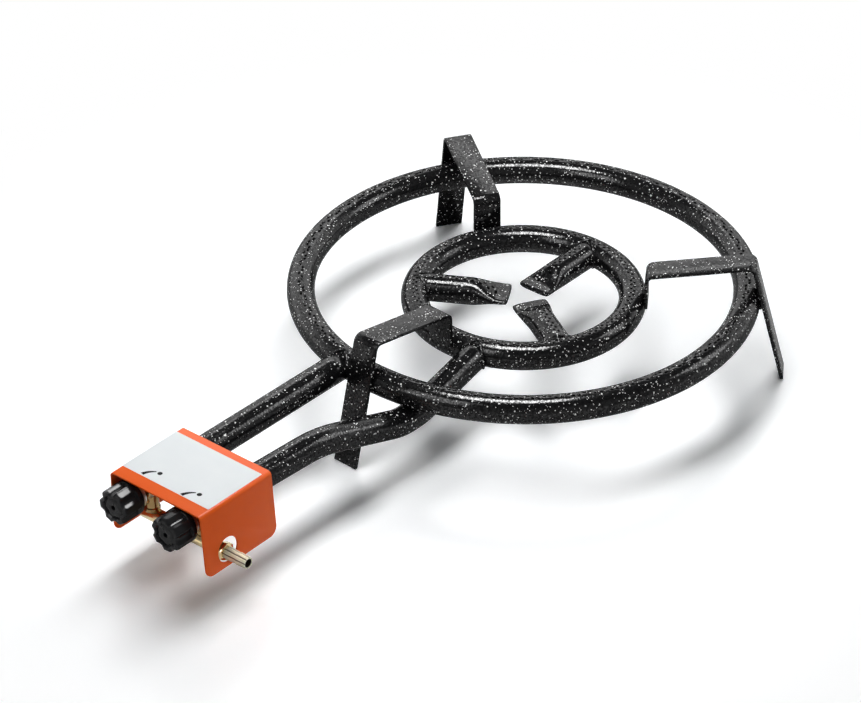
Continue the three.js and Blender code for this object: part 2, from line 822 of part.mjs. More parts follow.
function tapPlug() {
  const boss = chamberDepth - plugBossLength;
  const front = chamberDepth + endClearance;
  const rear = plugSeatEnd - plugEndClearance;
  const cone = turned([
    [0, boss],
    [plugBossRadius, boss],
    [plugBossRadius, front],
    [within(plugLargeRadius, runningClearance, roundSides), front],
    [within(plugSmallRadius, runningClearance, roundSides), rear],
    [0, rear],
  ]);
  const slot = block(
    [-slotWidth / 2, boss - cutOverrun, -slotHeight / 2],
    [slotWidth / 2, boss + slotDepth, slotHeight / 2],
  );
  const mainPort = rodAlongX(portRadius, -plugLargeRadius - cutOverrun, 0, smallSides)
    .translate(0, portDepth, 0);
  const lowFlamePort = rodAlongZ(lowFlamePortRadius, 0, plugLargeRadius + cutOverrun, smallSides)
    .translate(0, portDepth, 0);
  const axialWay = rodAlongY(portRadius, portDepth - portRadius / 2, plugSeatEnd + cutOverrun, smallSides);
  return cut(cone, slot, mainPort, lowFlamePort, axialWay);
}

// Spindle: a flatted shaft for the knob, a collar under the bonnet and a blade into the plug.

function spindle() {
  const front = -knobProud + knobDepth - knobBossRecess - knobBoreDepth + endClearance;
  const turnedPart = turned([
    [0, front],
    [spindleRadius, front],
    [spindleRadius, endClearance],
    [collarRadius, endClearance],
    [collarRadius, endClearance + collarThickness],
    [0, endClearance + collarThickness],
  ]);
  const flat = block(
    [-spindleRadius - cutOverrun, front - cutOverrun, spindleRadius - spindleFlatDepth],
    [spindleRadius + cutOverrun, front + spindleFlatLength, spindleRadius + cutOverrun],
  );
  const blade = block(
    [-bladeWidth / 2, endClearance + collarThickness / 2, -bladeHeight / 2],
    [bladeWidth / 2, bladeEnd, bladeHeight / 2],
  );
  return joined(cut(turnedPart, flat), blade);
}

// Return spring: one wire that winds round the blade, between the collar and the plug.

class SpringLine extends THREE.Curve {
  getPoint(share, target = new THREE.Vector3()) {
    const from = 2 * endClearance + collarThickness + springWireRadius;
    const to = chamberDepth - springWireRadius;
    const angle = 2 * Math.PI * springCurls * share;
    return target.set(
      springMeanRadius * Math.cos(angle),
      THREE.MathUtils.lerp(from, to, share),
      springMeanRadius * Math.sin(angle),
    );
  }
}

function returnSpring() {
  const corners = [];
  for (let i = 0; i < springWireSides; i += 1) {
    const angle = (2 * Math.PI * i) / springWireSides;
    corners.push(new THREE.Vector2(Math.cos(angle), Math.sin(angle)).multiplyScalar(springWireRadius));
  }
  return new THREE.ExtrudeGeometry(new THREE.Shape(corners), {
    extrudePath: new SpringLine(),
    steps: springCurls * springStepsPerCurl,
  });
}

// Injector: screwed into the tap outlet, with its jet on the tube's axis.

function injector() {
  const spigotRadius = within(outletBoreRadius, runningClearance, roundSides);
  const start = outletEnd - injectorSpigotLength;
  const headEnd = outletEnd + injectorHeadLength;
  const body = turned([
    [0, start],
    [spigotRadius, start],
    [spigotRadius, outletEnd],
    [injectorHeadRadius, outletEnd],
    [injectorHeadRadius, headEnd],
    [injectorNoseRadius, headEnd + injectorNoseLength],
    [0, headEnd + injectorNoseLength],
  ]);
  const noseEnd = headEnd + injectorNoseLength;
  return cut(body, rodAlongY(injectorJetRadius, start - cutOverrun, noseEnd + cutOverrun, smallSides));
}

// Bush: closes the front end of a feed tube and holds the tap outlet.

function tubeBush() {
  const outside = within(tubeBoreRadius, runningClearance, boreSides);
  const inside = around(outletRadius, runningClearance, roundSides);
  return washer(inside, outside, outletEnd - bushThickness, outletEnd);
}

// Knob: lugs round a capped face, with a round hollow skirt behind.

function knob() {
  const face = -knobProud;
  const rear = face + knobDepth;
  const lugFace = face + knobCapHeight;
  const lugs = new THREE.ExtrudeGeometry(knobOutline(), {
    depth: knobDepth - knobCapHeight - knobSkirtLength / 2,
    bevelEnabled: false,
  }).rotateX(-Math.PI / 2).translate(0, lugFace, 0);
  const skirt = rodAlongY(knobRadius, rear - knobSkirtLength, rear);
  const cap = rodAlongY(knobCapRadius, face, lugFace + cutOverrun);
  const cavity = washer(
    knobBossRadius,
    knobRadius - knobSkirtWall,
    rear - knobCavityDepth,
    rear + cutOverrun,
  );
  const bossTrim = rodAlongY(knobBossRadius + cutOverrun, rear - knobBossRecess, rear + cutOverrun);
  const dimple = rodAlongY(knobDimpleRadius, face - cutOverrun, face + knobDimpleDepth);
  const boreRadius = around(spindleRadius, runningClearance, roundSides);
  const boreStart = rear - knobBossRecess - knobBoreDepth;
  const bore = cut(
    rodAlongY(boreRadius, boreStart, rear + cutOverrun),
    block(
      [-knobRadius, boreStart - cutOverrun, spindleRadius - spindleFlatDepth + runningClearance],
      [knobRadius, boreStart + spindleFlatLength, knobRadius],
    ),
  );
  return cut(joined(lugs, skirt, cap), cavity, bossTrim, dimple, bore);
}

function knobOutline() {
  const count = knobLugCount * knobStepsPerLug;
  const points = [];
  for (let i = 0; i < count; i += 1) {
    const angle = (2 * Math.PI * i) / count;
    const wave = Math.tanh(knobLugSharpnessShare * Math.cos(knobLugCount * angle));
    const valley = (1 - wave / Math.tanh(knobLugSharpnessShare)) / 2;
    const radius = knobRadius - knobLugDepth * valley;
    points.push(new THREE.Vector2(radius * Math.cos(angle), radius * Math.sin(angle)));
  }
  return new THREE.Shape(points);
}

// Assembly, about the centre of the rings in the plane of the outer ring.

const burner = new THREE.Group();
burner.position.set(0, middleY, ringPlaneHeight);

piece(burner, 'outer_ring', outerRing(), enamel);
piece(burner, 'inner_ring', innerRing(), enamel);

for (const [side, bearing] of fingerSides) {
  piece(burner, `burner_finger_${side}`, finger(), enamel).rotation.z = radians(bearing);
}

piece(burner, 'outer_feed_tube', outerFeed(), enamel);
piece(burner, 'inner_feed_tube', innerFeed(), enamel);

for (const [side, bearing, sideStep] of bracketSides) {
  piece(burner, `pan_bracket_${side}`, bracket(sideStep), enamel).rotation.z = radians(bearing);
}

piece(burner, 'control_box', controlBox(), orangePaint);
piece(burner, 'box_label', label(), whiteLabel);
piece(burner, 'carrier_bar', carrierBar(), zincSteel);
boxScrewPlaces().forEach(([x, y], i) => {
  piece(burner, `box_screw_${i + 1}`, boxScrew(), zincSteel).position.set(x, y, boxTop);
});

const gasLine = new THREE.Group();
gasLine.position.set(0, -railReach, -railDrop);
burner.add(gasLine);
piece(gasLine, 'gas_rail', gasRail(), brass);
piece(gasLine, 'rail_end_plug', endPlug(), brass);
piece(gasLine, 'nozzle_washer', nozzleWasher(), fibreSeal);
piece(gasLine, 'hose_nozzle', hoseNozzle(), brass);

for (const [side, x] of [['left', outerFeedX], ['right', innerFeedX]]) {
  const tap = new THREE.Group();
  tap.position.set(x, -tapReach, 0);
  burner.add(tap);
  piece(tap, `tap_body_${side}`, tapBody(), brass);
  piece(tap, `tap_bonnet_${side}`, tapBonnet(), zincSteel);
  for (const [number, direction] of [[1, -1], [2, 1]]) {
    piece(tap, `bonnet_screw_${side}_${number}`, bonnetScrew(), zincSteel)
      .position.x = direction * bonnetScrewOffset;
  }
  piece(tap, `tap_plug_${side}`, tapPlug(), brass);
  piece(tap, `tap_spindle_${side}`, spindle(), brass);
  piece(tap, `return_spring_${side}`, returnSpring(), springSteel);
  piece(tap, `injector_${side}`, injector(), brass);
  piece(tap, `tube_bush_${side}`, tubeBush(), zincSteel);
  piece(tap, `knob_${side}`, knob(), blackPlastic);
}

export default burner;
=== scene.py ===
import math

import bpy
from mathutils import Matrix, Quaternion, Vector


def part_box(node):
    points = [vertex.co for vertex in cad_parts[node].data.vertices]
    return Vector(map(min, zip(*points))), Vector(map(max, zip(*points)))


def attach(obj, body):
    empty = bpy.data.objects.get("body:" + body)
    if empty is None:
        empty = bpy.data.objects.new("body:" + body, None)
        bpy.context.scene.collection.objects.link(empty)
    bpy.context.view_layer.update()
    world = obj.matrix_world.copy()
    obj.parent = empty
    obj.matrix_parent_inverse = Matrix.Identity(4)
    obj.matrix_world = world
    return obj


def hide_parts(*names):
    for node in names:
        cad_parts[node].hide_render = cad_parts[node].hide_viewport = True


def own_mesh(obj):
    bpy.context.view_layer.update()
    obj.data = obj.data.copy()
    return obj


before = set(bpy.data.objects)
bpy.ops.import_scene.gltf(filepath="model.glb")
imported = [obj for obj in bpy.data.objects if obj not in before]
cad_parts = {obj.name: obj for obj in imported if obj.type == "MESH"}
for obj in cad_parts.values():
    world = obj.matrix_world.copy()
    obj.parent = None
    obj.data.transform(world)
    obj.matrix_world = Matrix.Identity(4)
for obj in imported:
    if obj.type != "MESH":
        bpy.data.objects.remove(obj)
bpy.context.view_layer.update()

# Camera: a long lens well back from the burner, looking down at it across the knobs.
# It is set from the middle of the outer ring, and rolled by half a degree.

camera_offset = Vector((1.6664, -2.0579, 1.6815))
view_direction = Vector((-0.5442, 0.6324, -0.5513))
camera_roll = math.radians(-0.55)


def solid_box(name):
    """The low and high corners of a solid's box."""
    return [Vector(corner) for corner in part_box(name)]


def start_with(operator, **settings):
    """Adds one new object with nothing else selected, and gives it back."""
    bpy.ops.object.select_all(action="DESELECT")
    operator(**settings)
    return bpy.context.object


ring_low, ring_high = solid_box("outer_ring")
ring_centre = (ring_low + ring_high) / 2
camera = start_with(bpy.ops.object.camera_add, location=ring_centre + camera_offset)
camera.rotation_euler = (
    view_direction.to_track_quat("-Z", "Y") @ Quaternion((0, 0, 1), camera_roll)
).to_euler()
camera.data.sensor_width = 36
camera.data.lens = 155.5
camera.data.clip_end = 20
bpy.context.scene.camera = camera
bpy.context.scene.view_settings.view_transform = "Standard"

# Floor and surroundings: a satin white studio table that fades to pure white away from the
# burner. The room gives little light of its own. Gloss mirrors a white wall and a dark ceiling.

floor_size = 9
floor_drop = 0.0003
floor_colour = (0.76, 0.765, 0.77)
floor_in_view = (1.24, 1.26, 1.28)
fade_middle = (0, 0.02, 0)
fade_start = 0.3
fade_end = 0.62
room_strength = 0.06
front_wall_strength = 0.35
rear_wall_strength = 2.5
wall_start = -0.3
wall_end = 0.5
ceiling_strength = 0.12
ceiling_start = 0.58
ceiling_end = 0.7


def new_finish(name, colour, roughness, others=None):
    """A material with its shader's plain values, and its nodes, ready for patterns."""
    finish = bpy.data.materials.new(name)
    finish.use_nodes = True
    sockets = finish.node_tree.nodes["Principled BSDF"].inputs
    sockets["Base Color"].default_value = (*colour, 1)
    sockets["Roughness"].default_value = roughness
    for socket, value in (others or {}).items():
        sockets[socket].default_value = value
    return finish, finish.node_tree


def add_node(tree, kind, sockets=None, **settings):
    """A shader node with its settings made and its sockets set or linked."""
    made = tree.nodes.new("ShaderNode" + kind)
    for name, value in settings.items():
        setattr(made, name, value)
    for name, value in (sockets or {}).items():
        if isinstance(value, bpy.types.NodeSocket):
            tree.links.new(value, made.inputs[name])
        else:
            made.inputs[name].default_value = value
    return made


def connect(tree, socket, source):
    """Lets a source drive one socket of the material's shader."""
    tree.links.new(source, tree.nodes["Principled BSDF"].inputs[socket])


def combine(tree, operation, first, second):
    return add_node(tree, "Math", {0: first, 1: second}, operation=operation).outputs[0]


def mix_values(tree, share, first, second):
    """The first value where the share is 0, and the second where it is 1."""
    return add_node(tree, "Mix", {0: share, 2: first, 3: second}).outputs[0]


def mix_colours(tree, share, first, second):
    """The first colour where the share is 0, and the second where it is 1."""
    return add_node(tree, "Mix", {0: share, 6: first, 7: second}, data_type="RGBA").outputs[2]


def remap(tree, value, before, after=(0.0, 1.0), shape="LINEAR"):
    """A value's range before, stretched to the range after and held inside it."""
    return add_node(tree, "MapRange", {
        "Value": value,
        "From Min": before[0],
        "From Max": before[1],
        "To Min": after[0],
        "To Max": after[1],
    }, interpolation_type=shape).outputs["Result"]


def floor_finish():
    finish, tree = new_finish("studio_floor", floor_colour, 0.3, {"IOR": 1.7})
    place = add_node(tree, "TexCoord").outputs["Object"]
    middle = add_node(tree, "VectorMath", {0: place, 1: fade_middle}, operation="SUBTRACT")
    reach = add_node(tree, "VectorMath", {0: middle.outputs[0]}, operation="LENGTH")
    away = remap(tree, reach.outputs["Value"], (fade_start, fade_end), shape="SMOOTHSTEP")
    path = add_node(tree, "LightPath").outputs
    in_view = path["Is Camera Ray"]
    colour = mix_colours(tree, in_view, (*floor_colour, 1), (*floor_in_view, 1))
    connect(tree, "Base Color", colour)
    seen = combine(tree, "MAXIMUM", in_view, path["Is Glossy Ray"])
    share = combine(tree, "MULTIPLY", away, seen)
    white = add_node(tree, "Emission", {"Color": (1, 1, 1, 1), "Strength": 1.0})
    surface = tree.nodes["Principled BSDF"].outputs[0]
    mixed = add_node(tree, "MixShader", {0: share, 1: surface, 2: white.outputs[0]})
    tree.links.new(mixed.outputs[0], tree.nodes["Material Output"].inputs["Surface"])
    return finish


floor = start_with(bpy.ops.mesh.primitive_plane_add, size=floor_size, location=(0, 0, -floor_drop))
floor.name = "studio_floor"
floor.data.materials.append(floor_finish())

world = bpy.data.worlds.new("studio")
world.use_nodes = True
bpy.context.scene.world = world
room = world.node_tree
surroundings = room.nodes["Background"]
surroundings.inputs["Color"].default_value = (1, 1, 1, 1)
heading = add_node(room, "TexCoord").outputs["Generated"]
rise = add_node(room, "SeparateXYZ", {0: heading}).outputs["Z"]
backward = add_node(room, "VectorMath", {0: heading, 1: view_direction}, operation="DOT_PRODUCT")
wall = remap(
    room,
    backward.outputs["Value"],
    (wall_start, wall_end),
    (front_wall_strength, rear_wall_strength),
    "SMOOTHSTEP",
)
height = remap(room, rise, (ceiling_start, ceiling_end), shape="SMOOTHSTEP")
path = add_node(room, "LightPath").outputs
mirrored = mix_values(room, height, wall, ceiling_strength)
in_gloss = mix_values(room, path["Is Glossy Ray"], room_strength, mirrored)
direct = combine(room, "MAXIMUM", path["Is Camera Ray"], path["Is Transmission Ray"])
room.links.new(mix_values(room, direct, in_gloss, 1.0), surroundings.inputs["Strength"])

# Studio lamps: a softbox over the rings lights the burner, and cards that only gloss sees
# lay the long highlights on the tubes.


def softbox(name, place, aim, width, depth, brightness, turn=0.0):
    """A rectangular lamp of the given radiance that faces its aim."""
    lamp = start_with(bpy.ops.object.light_add, type="AREA", location=place)
    lamp.name = name
    lamp.data.shape = "RECTANGLE"
    lamp.data.size = width
    lamp.data.size_y = depth
    lamp.data.energy = brightness * math.pi * width * depth
    lamp.rotation_euler = (aim - place).to_track_quat("-Z", "Y").to_euler()
    lamp.rotation_euler.rotate_axis("Z", turn)
    return lamp


def gloss_card(name, bearing, rise, reach, width, depth, brightness, turn=0.0):
    """A lamp that only gloss sees, aimed at the rings from this bearing and rise in degrees."""
    away = Vector((
        math.cos(math.radians(rise)) * math.cos(math.radians(bearing)),
        math.cos(math.radians(rise)) * math.sin(math.radians(bearing)),
        math.sin(math.radians(rise)),
    ))
    lamp = softbox(name, ring_centre + reach * away, ring_centre, width, depth, brightness, turn)
    lamp.visible_diffuse = False


overhead = ring_centre + Vector((-0.12, 0.12, 0.85))
lamp = softbox("overhead_softbox", overhead, overhead - Vector((0, 0, 1)), 0.36, 1.6, 5.9)
lamp.visible_glossy = False
lamp = softbox("fill_softbox", ring_centre + Vector((2.4, -0.75, 0.9)), ring_centre, 1.1, 1.1, 3.2)
lamp.visible_glossy = False
gloss_card("overhead_card", -90, 84.5, 0.85, 0.42, 0.3, 32.0, math.radians(35))
gloss_card("front_card", -93, 38, 1.45, 0.6, 0.75, 4.5)
gloss_card("right_card", 47, 34, 2.0, 0.75, 0.9, 4.5)
gloss_card("rear_card", 129, 43, 1.6, 0.9, 0.35, 4.0)

# Outer burner ring: steel tube bent round and welded shut, in glossy black enamel with
# white flecks. Two staggered rows of gas ports are drilled along its top.

tube_radius = (ring_high.z - ring_low.z) / 2
tube_sides = 28
port_pitch = 0.0065
port_rim = 0.00014
port_taper = 0.0001
port_depth = 0.0026
flecks_fine = (0.0016, 0.00042, 0.28)
flecks_medium = (0.0031, 0.0007, 0.6)
flecks_large = (0.006, 0.001, 0.25)
fleck_edge = 0.05
enamel_black = (0.006, 0.006, 0.0065)
enamel_white = (0.96, 0.97, 0.96)
# Black painted into the floors of the gas ports, as painted shade.
port_shade_black = (0.002, 0.002, 0.002)


def noise(tree, scale, detail):
    """A cloudy pattern that stays on the piece."""
    place = add_node(tree, "TexCoord").outputs["Object"]
    return add_node(tree, "TexNoise", {"Vector": place, "Scale": scale, "Detail": detail}).outputs["Fac"]


def mottle(tree, pattern, dark, light):
    """Spreads a dark and a light colour over the piece by a pattern."""
    connect(tree, "Base Color", mix_colours(tree, pattern, (*dark, 1), (*light, 1)))


def vary_gloss(tree, pattern, smooth, rough, span=(0.0, 1.0)):
    """Spreads a smooth and a rough gloss over the piece by this span of a pattern."""
    connect(tree, "Roughness", remap(tree, pattern, span, (smooth, rough)))


def emboss(tree, pattern, strength, distance):
    """Raises the surface a little where the pattern is high."""
    bump = add_node(tree, "Bump", {"Height": pattern, "Strength": strength, "Distance": distance})
    connect(tree, "Normal", bump.outputs[0])


def soften_rims(tree, span, strongest, weakest):
    """Weakens the mirror towards the rims, where the surface turns away from the camera."""
    facing = add_node(tree, "LayerWeight", {"Blend": 0.5}).outputs["Facing"]
    connect(tree, "IOR", remap(tree, facing, span, (strongest, weakest)))


def flecks(tree, place, cell, largest, share):
    """How far a point lies inside a white fleck, with one fleck at most in each cell."""
    cells = add_node(tree, "TexVoronoi", {"Vector": place, "Scale": 1 / cell})
    lot = add_node(tree, "SeparateColor", {"Color": cells.outputs["Color"]})
    size = remap(tree, lot.outputs["Red"], (1 - share, 1 - share / 2), (0.0, largest / cell))
    inside = combine(tree, "SUBTRACT", size, cells.outputs["Distance"])
    return remap(tree, inside, (0.0, fleck_edge))


def enamel_finish():
    finish, tree = new_finish("flecked_enamel", enamel_black, 0.12, {"IOR": 1.36})
    soften_rims(tree, (0.25, 0.75), 1.36, 1.06)
    place = add_node(tree, "TexCoord").outputs["Object"]
    wobble = add_node(tree, "TexNoise", {"Vector": place, "Scale": 900.0, "Detail": 1.0})
    shift = add_node(tree, "VectorMath", {
        0: wobble.outputs["Color"],
        1: (0.0011, 0.0011, 0.0011),
    }, operation="MULTIPLY")
    ragged = add_node(tree, "VectorMath", {0: place, 1: shift.outputs[0]}, operation="ADD").outputs[0]
    fine, medium, large = (
        flecks(tree, ragged, *sizes) for sizes in (flecks_fine, flecks_medium, flecks_large)
    )
    every = combine(tree, "MAXIMUM", combine(tree, "MAXIMUM", fine, medium), large)
    colour = mix_colours(tree, every, (*enamel_black, 1), (*enamel_white, 1))
    # Where a point is marked for painted shade, as on the port floors, the enamel is painted black and
    # loses its gloss.
    painted_shade = add_node(tree, "Attribute", attribute_name="painted_shade").outputs["Fac"]
    connect(tree, "Base Color", mix_colours(tree, painted_shade, colour, (*port_shade_black, 1)))
    vary_gloss(tree, noise(tree, 60.0, 4.0), 0.09, 0.17, (0.3, 0.7))
    grain = remap(tree, noise(tree, 620.0, 1.0), (0.4, 0.62), (0.22, 0.85))
    connect(tree, "Specular IOR Level", mix_values(tree, painted_shade, grain, 0.0))
    emboss(tree, combine(tree, "ADD", noise(tree, 420.0, 3.0), every), 0.3, 0.0004)
    return finish


enamel = enamel_finish()


def dress(piece, name, finish, body, slot, *nodes):
    """Names a finished piece, gives it its material, ties it to its body, and hides the solids that it
    stands in for.
    """
    piece.name = name
    piece.data.name = name
    piece.data.materials.clear()
    piece.data.materials.append(finish)
    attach(piece, body)
    if nodes:
        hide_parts(*nodes)


def anything(item):
    return True


def in_edit_mode(piece, chosen, mode="FACE"):
    """Opens edit mode with just the chosen faces, edges or vertices selected."""
    bpy.ops.object.mode_set(mode="EDIT")
    bpy.ops.mesh.select_mode(type=mode)
    bpy.ops.mesh.select_all(action="DESELECT")
    bpy.ops.object.mode_set(mode="OBJECT")
    mesh = piece.data
    if mode == "FACE":
        for face in mesh.polygons:
            face.select = chosen(face)
    else:
        for vertex in mesh.vertices:
            vertex.select = chosen(vertex)
        if mode == "EDGE":
            for edge in mesh.edges:
                edge.select = all(mesh.vertices[i].select for i in edge.vertices)
    bpy.ops.object.mode_set(mode="EDIT")


def edit(piece, chosen, mode, operator, **settings):
    """Runs one operator of edit mode on just the chosen parts of a piece."""
    in_edit_mode(piece, chosen, mode)
    operator(**settings)
    bpy.ops.object.mode_set(mode="OBJECT")


def mark_grime(piece, vertices):
    """Marks the points where the piece's material paints shade into recesses."""
    painted_shade = piece.data.attributes.new("painted_shade", "FLOAT", "POINT")
    for number in vertices:
        painted_shade.data[number].value = 1


def drill_ports(piece, chosen):
    """Sinks a small round hole into each chosen face, and marks its floor for painted shade."""
    in_edit_mode(piece, chosen)
    bpy.ops.mesh.inset(thickness=port_rim, use_individual=True)
    bpy.ops.mesh.inset(thickness=port_taper, depth=-port_depth, use_individual=True)
    bpy.ops.object.mode_set(mode="OBJECT")
    floors = [face for face in piece.data.polygons if face.select]
    mark_grime(piece, {number for face in floors for number in face.vertices})


def apply_modifier(piece, kind, **settings):
    bpy.context.view_layer.objects.active = piece
    modifier = piece.modifiers.new(kind.lower(), kind)
    for name, value in settings.items():
        setattr(modifier, name, value)
    bpy.ops.object.modifier_apply(modifier=modifier.name)


def burner_ring(name):
    """A ring of tube the size of the solid of that name, with its ports."""
    low, high = solid_box(name)
    centre = (low + high) / 2
    radius = (high.x - low.x) / 2 - tube_radius
    segments = 2 * round(2 * math.pi * radius / port_pitch)
    ring = start_with(
        bpy.ops.mesh.primitive_torus_add,
        location=centre,
        major_radius=radius,
        minor_radius=tube_radius,
        major_segments=segments,
        minor_segments=tube_sides,
    )
    bpy.ops.object.transform_apply(location=True)

    def is_port(face):
        out = face.center - centre
        lean = math.atan2(math.hypot(out.x, out.y) - radius, out.z)
        number = int(math.atan2(out.y, out.x) % (2 * math.pi) / (2 * math.pi / segments))
        on_top = abs(lean) < 2 * math.pi / tube_sides and out.z > 0
        return on_top and number % 2 == (0 if lean > 0 else 1)

    drill_ports(ring, is_port)
    apply_modifier(ring, "SUBSURF", levels=1, render_levels=1)
    bpy.ops.object.shade_smooth()
    dress(ring, name + "_tube", enamel, "burner", "enamel", name)


burner_ring("outer_ring")

# Inner burner ring: the same tube bent to half the size, a little lower than the outer ring.

burner_ring("inner_ring")
inner_low, inner_high = solid_box("inner_ring")
inner_centre = (inner_low + inner_high) / 2
inner_radius = (inner_high.x - inner_low.x) / 2 - tube_radius

# Burner fingers: three short tubes welded inside the inner ring, with their ends pressed
# flat and shut. Their ports run on from the ring's.

finger_bearings = {"rear": 90, "left": 210, "right": 330}
finger_tip_reach = 0.0115
finger_tip_width = 0.031
finger_tip_thickness = 0.0046
finger_pressed_length = 0.007
finger_taper_length = 0.026
finger_root_sink = 0.006
finger_last_port = 0.021
finger_tip_squareness = 0.5


def pressed_share(reach):
    """How far the tube is pressed at this reach: 0 where it is round, 1 where it is flat."""
    flat_start = finger_tip_reach + finger_pressed_length
    share = min(max((flat_start + finger_taper_length - reach) / finger_taper_length, 0), 1)
    return share * share * (3 - 2 * share)


def smooth(limit):
    """Shades smoothly over edges that turn by less than a limit in degrees."""
    bpy.ops.object.shade_smooth_by_angle(angle=math.radians(limit))


def burner_finger(side, bearing):
    root = inner_radius - finger_root_sink
    steps = 2 * round((root - finger_tip_reach) / port_pitch)
    step = (root - finger_tip_reach) / steps
    finger = start_with(
        bpy.ops.mesh.primitive_circle_add,
        vertices=tube_sides,
        radius=tube_radius,
        fill_type="NGON",
        location=(root, 0, 0),
        rotation=(0, -math.pi / 2, 0),
    )
    bpy.ops.object.transform_apply(location=True, rotation=True)
    in_edit_mode(finger, anything)
    for _ in range(steps):
        bpy.ops.mesh.extrude_region_move(TRANSFORM_OT_translate={"value": (-step, 0, 0)})
    bpy.ops.object.mode_set(mode="OBJECT")

    def is_port(face):
        lean = math.atan2(face.center.y, face.center.z)
        on_top = abs(lean) < 2 * math.pi / tube_sides and abs(face.normal.x) < 0.5
        clear = finger_last_port < face.center.x < root - 2 * step
        number = int((root - face.center.x) / step)
        return on_top and clear and number % 2 == (0 if lean > 0 else 1)

    drill_ports(finger, is_port)
    for vertex in finger.data.vertices:
        pressed = pressed_share(vertex.co.x)
        depth = math.hypot(vertex.co.y, vertex.co.z) / tube_radius
        across, up = (part / (depth * tube_radius) for part in (vertex.co.y, vertex.co.z))
        squareness = 1 - finger_tip_squareness * pressed
        half_width = tube_radius + pressed * (finger_tip_width / 2 - tube_radius)
        half_height = tube_radius + pressed * (finger_tip_thickness / 2 - tube_radius)
        vertex.co.y = math.copysign(abs(across) ** squareness, across) * half_width * depth
        vertex.co.z = math.copysign(abs(up) ** squareness, up) * half_height * depth
    apply_modifier(finger, "SUBSURF", levels=1, render_levels=1)
    smooth(50)
    finger.rotation_euler.z = math.radians(bearing)
    finger.location = inner_centre
    bpy.ops.object.transform_apply(location=True, rotation=True)
    dress(finger, f"finger_{side}", enamel, "burner", "enamel", f"burner_finger_{side}")


for side, bearing in finger_bearings.items():
    burner_finger(side, bearing)

# Feed tubes: the outer one is straight, and the inner one bends down under the outer ring
# and up again to the inner one. Both are hollow, with a cross slot for air in the box.

tube_wall = 0.0018
tube_end_share = 0.55
outer_feed_x = -0.0398
outer_feed_drift = 0.003
inner_feed_x = 0.016
feed_start = solid_box("outer_feed_tube")[0].y
feed_bend = ring_centre + Vector((0.0225, -0.283, 0))
feed_bend_length = 0.018
crossing_x = 0.0325
crossing_run = 0.012
crossing_bend_length = 0.009
crossing_drop = 0.0243
landing_bearing = math.radians(-74)
air_slot_setback = 0.012
air_slot_length = 0.016
air_slot_height = 0.007
air_slot_corner = air_slot_height * 0.3


def air_slot(tube, x):
    """Cuts the cross slot through both walls of a feed tube."""
    middle = feed_start + air_slot_setback + air_slot_length / 2
    cutter = start_with(bpy.ops.mesh.primitive_cube_add, size=1, location=(x, middle, ring_centre.z))
    cutter.scale = (4 * tube_radius, air_slot_length, air_slot_height)
    bpy.ops.object.transform_apply(location=True, scale=True)
    edit(cutter, anything, "FACE", bpy.ops.mesh.bevel, offset=air_slot_corner, segments=4)
    apply_modifier(tube, "BOOLEAN", operation="DIFFERENCE", object=cutter, solver="EXACT")
    bpy.data.objects.remove(cutter)


def tube_along(points):
    """A hollow tube along points, each a place with the handles before and after it."""
    tube = start_with(bpy.ops.curve.primitive_bezier_curve_add, location=(0, 0, 0))
    spline = tube.data.splines[0]
    spline.bezier_points.add(len(points) - 2)
    for knot, (place, before, after) in zip(spline.bezier_points, points):
        knot.handle_left_type = "FREE"
        knot.handle_right_type = "FREE"
        knot.co = place
        knot.handle_left = before
        knot.handle_right = after
    tube.data.resolution_u = 14
    tube.data.bevel_depth = tube_radius
    tube.data.bevel_resolution = 10
    bpy.ops.object.convert(target="MESH")
    apply_modifier(tube, "SOLIDIFY", thickness=tube_wall, offset=-1)
    return bpy.context.object


def rounded(corners, lengths=()):
    """Points for straight runs between corners that are rounded over the given lengths."""
    knots = []
    enters = [corner + (before - corner).normalized() * length
              for before, corner, length in zip(corners, corners[1:-1], lengths)]
    leaves = [corner + (after - corner).normalized() * length
              for corner, after, length in zip(corners[1:-1], corners[2:], lengths)]
    runs = [corners[0], *leaves]
    ends = [*enters, corners[-1]]
    for number, (start, end) in enumerate(zip(runs, ends)):
        before = start.lerp(corners[number], 2 / 3) if number else start
        after = end.lerp(corners[number + 1], 2 / 3) if number < len(lengths) else end
        knots.append((start, before, start.lerp(end, 1 / 3)))
        knots.append((end, end.lerp(start, 1 / 3), after))
    return knots


outer_ring_radius = (ring_high.x - ring_low.x) / 2 - tube_radius


def under_outer_ring(x, drop=0):
    """The place at this x on the front of the outer ring's centre line, or a drop below it."""
    reach = math.sqrt(outer_ring_radius ** 2 - x ** 2)
    return Vector((x, ring_centre.y - reach, ring_centre.z - drop))


outer_start = Vector((outer_feed_x, feed_start, ring_centre.z))
outer_landing = under_outer_ring(outer_feed_x + outer_feed_drift)
outer_arrival = (outer_landing - outer_start).normalized()
outer_end = outer_landing - outer_arrival * tube_radius * tube_end_share
outer_feed = tube_along(rounded([outer_start, outer_end]))
air_slot(outer_feed, outer_feed_x)
smooth(40)
dress(outer_feed, "outer_feed", enamel, "burner", "enamel", "outer_feed_tube")


def on_bearing(bearing):
    """The level direction from the middle of the rings out along a bearing."""
    return Vector((math.cos(bearing), math.sin(bearing), 0))


def level_direction(start, end):
    return Vector((end.x - start.x, end.y - start.y, 0)).normalized()


crossing = under_outer_ring(crossing_x, crossing_drop)
inner_landing = inner_centre + inner_radius * on_bearing(landing_bearing)
before_crossing = crossing - crossing_run * level_direction(feed_bend, crossing)
after_crossing = crossing + crossing_run * level_direction(crossing, inner_landing)
arrival = (inner_landing - after_crossing).normalized()
inner_feed = tube_along(rounded(
    [
        Vector((inner_feed_x, feed_start, ring_centre.z)),
        feed_bend,
        before_crossing,
        after_crossing,
        inner_landing - arrival * tube_radius * tube_end_share,
    ],
    [feed_bend_length, crossing_bend_length, crossing_bend_length],
))
air_slot(inner_feed, inner_feed_x)
smooth(40)
dress(inner_feed, "inner_feed", enamel, "burner", "enamel", "inner_feed_tube")

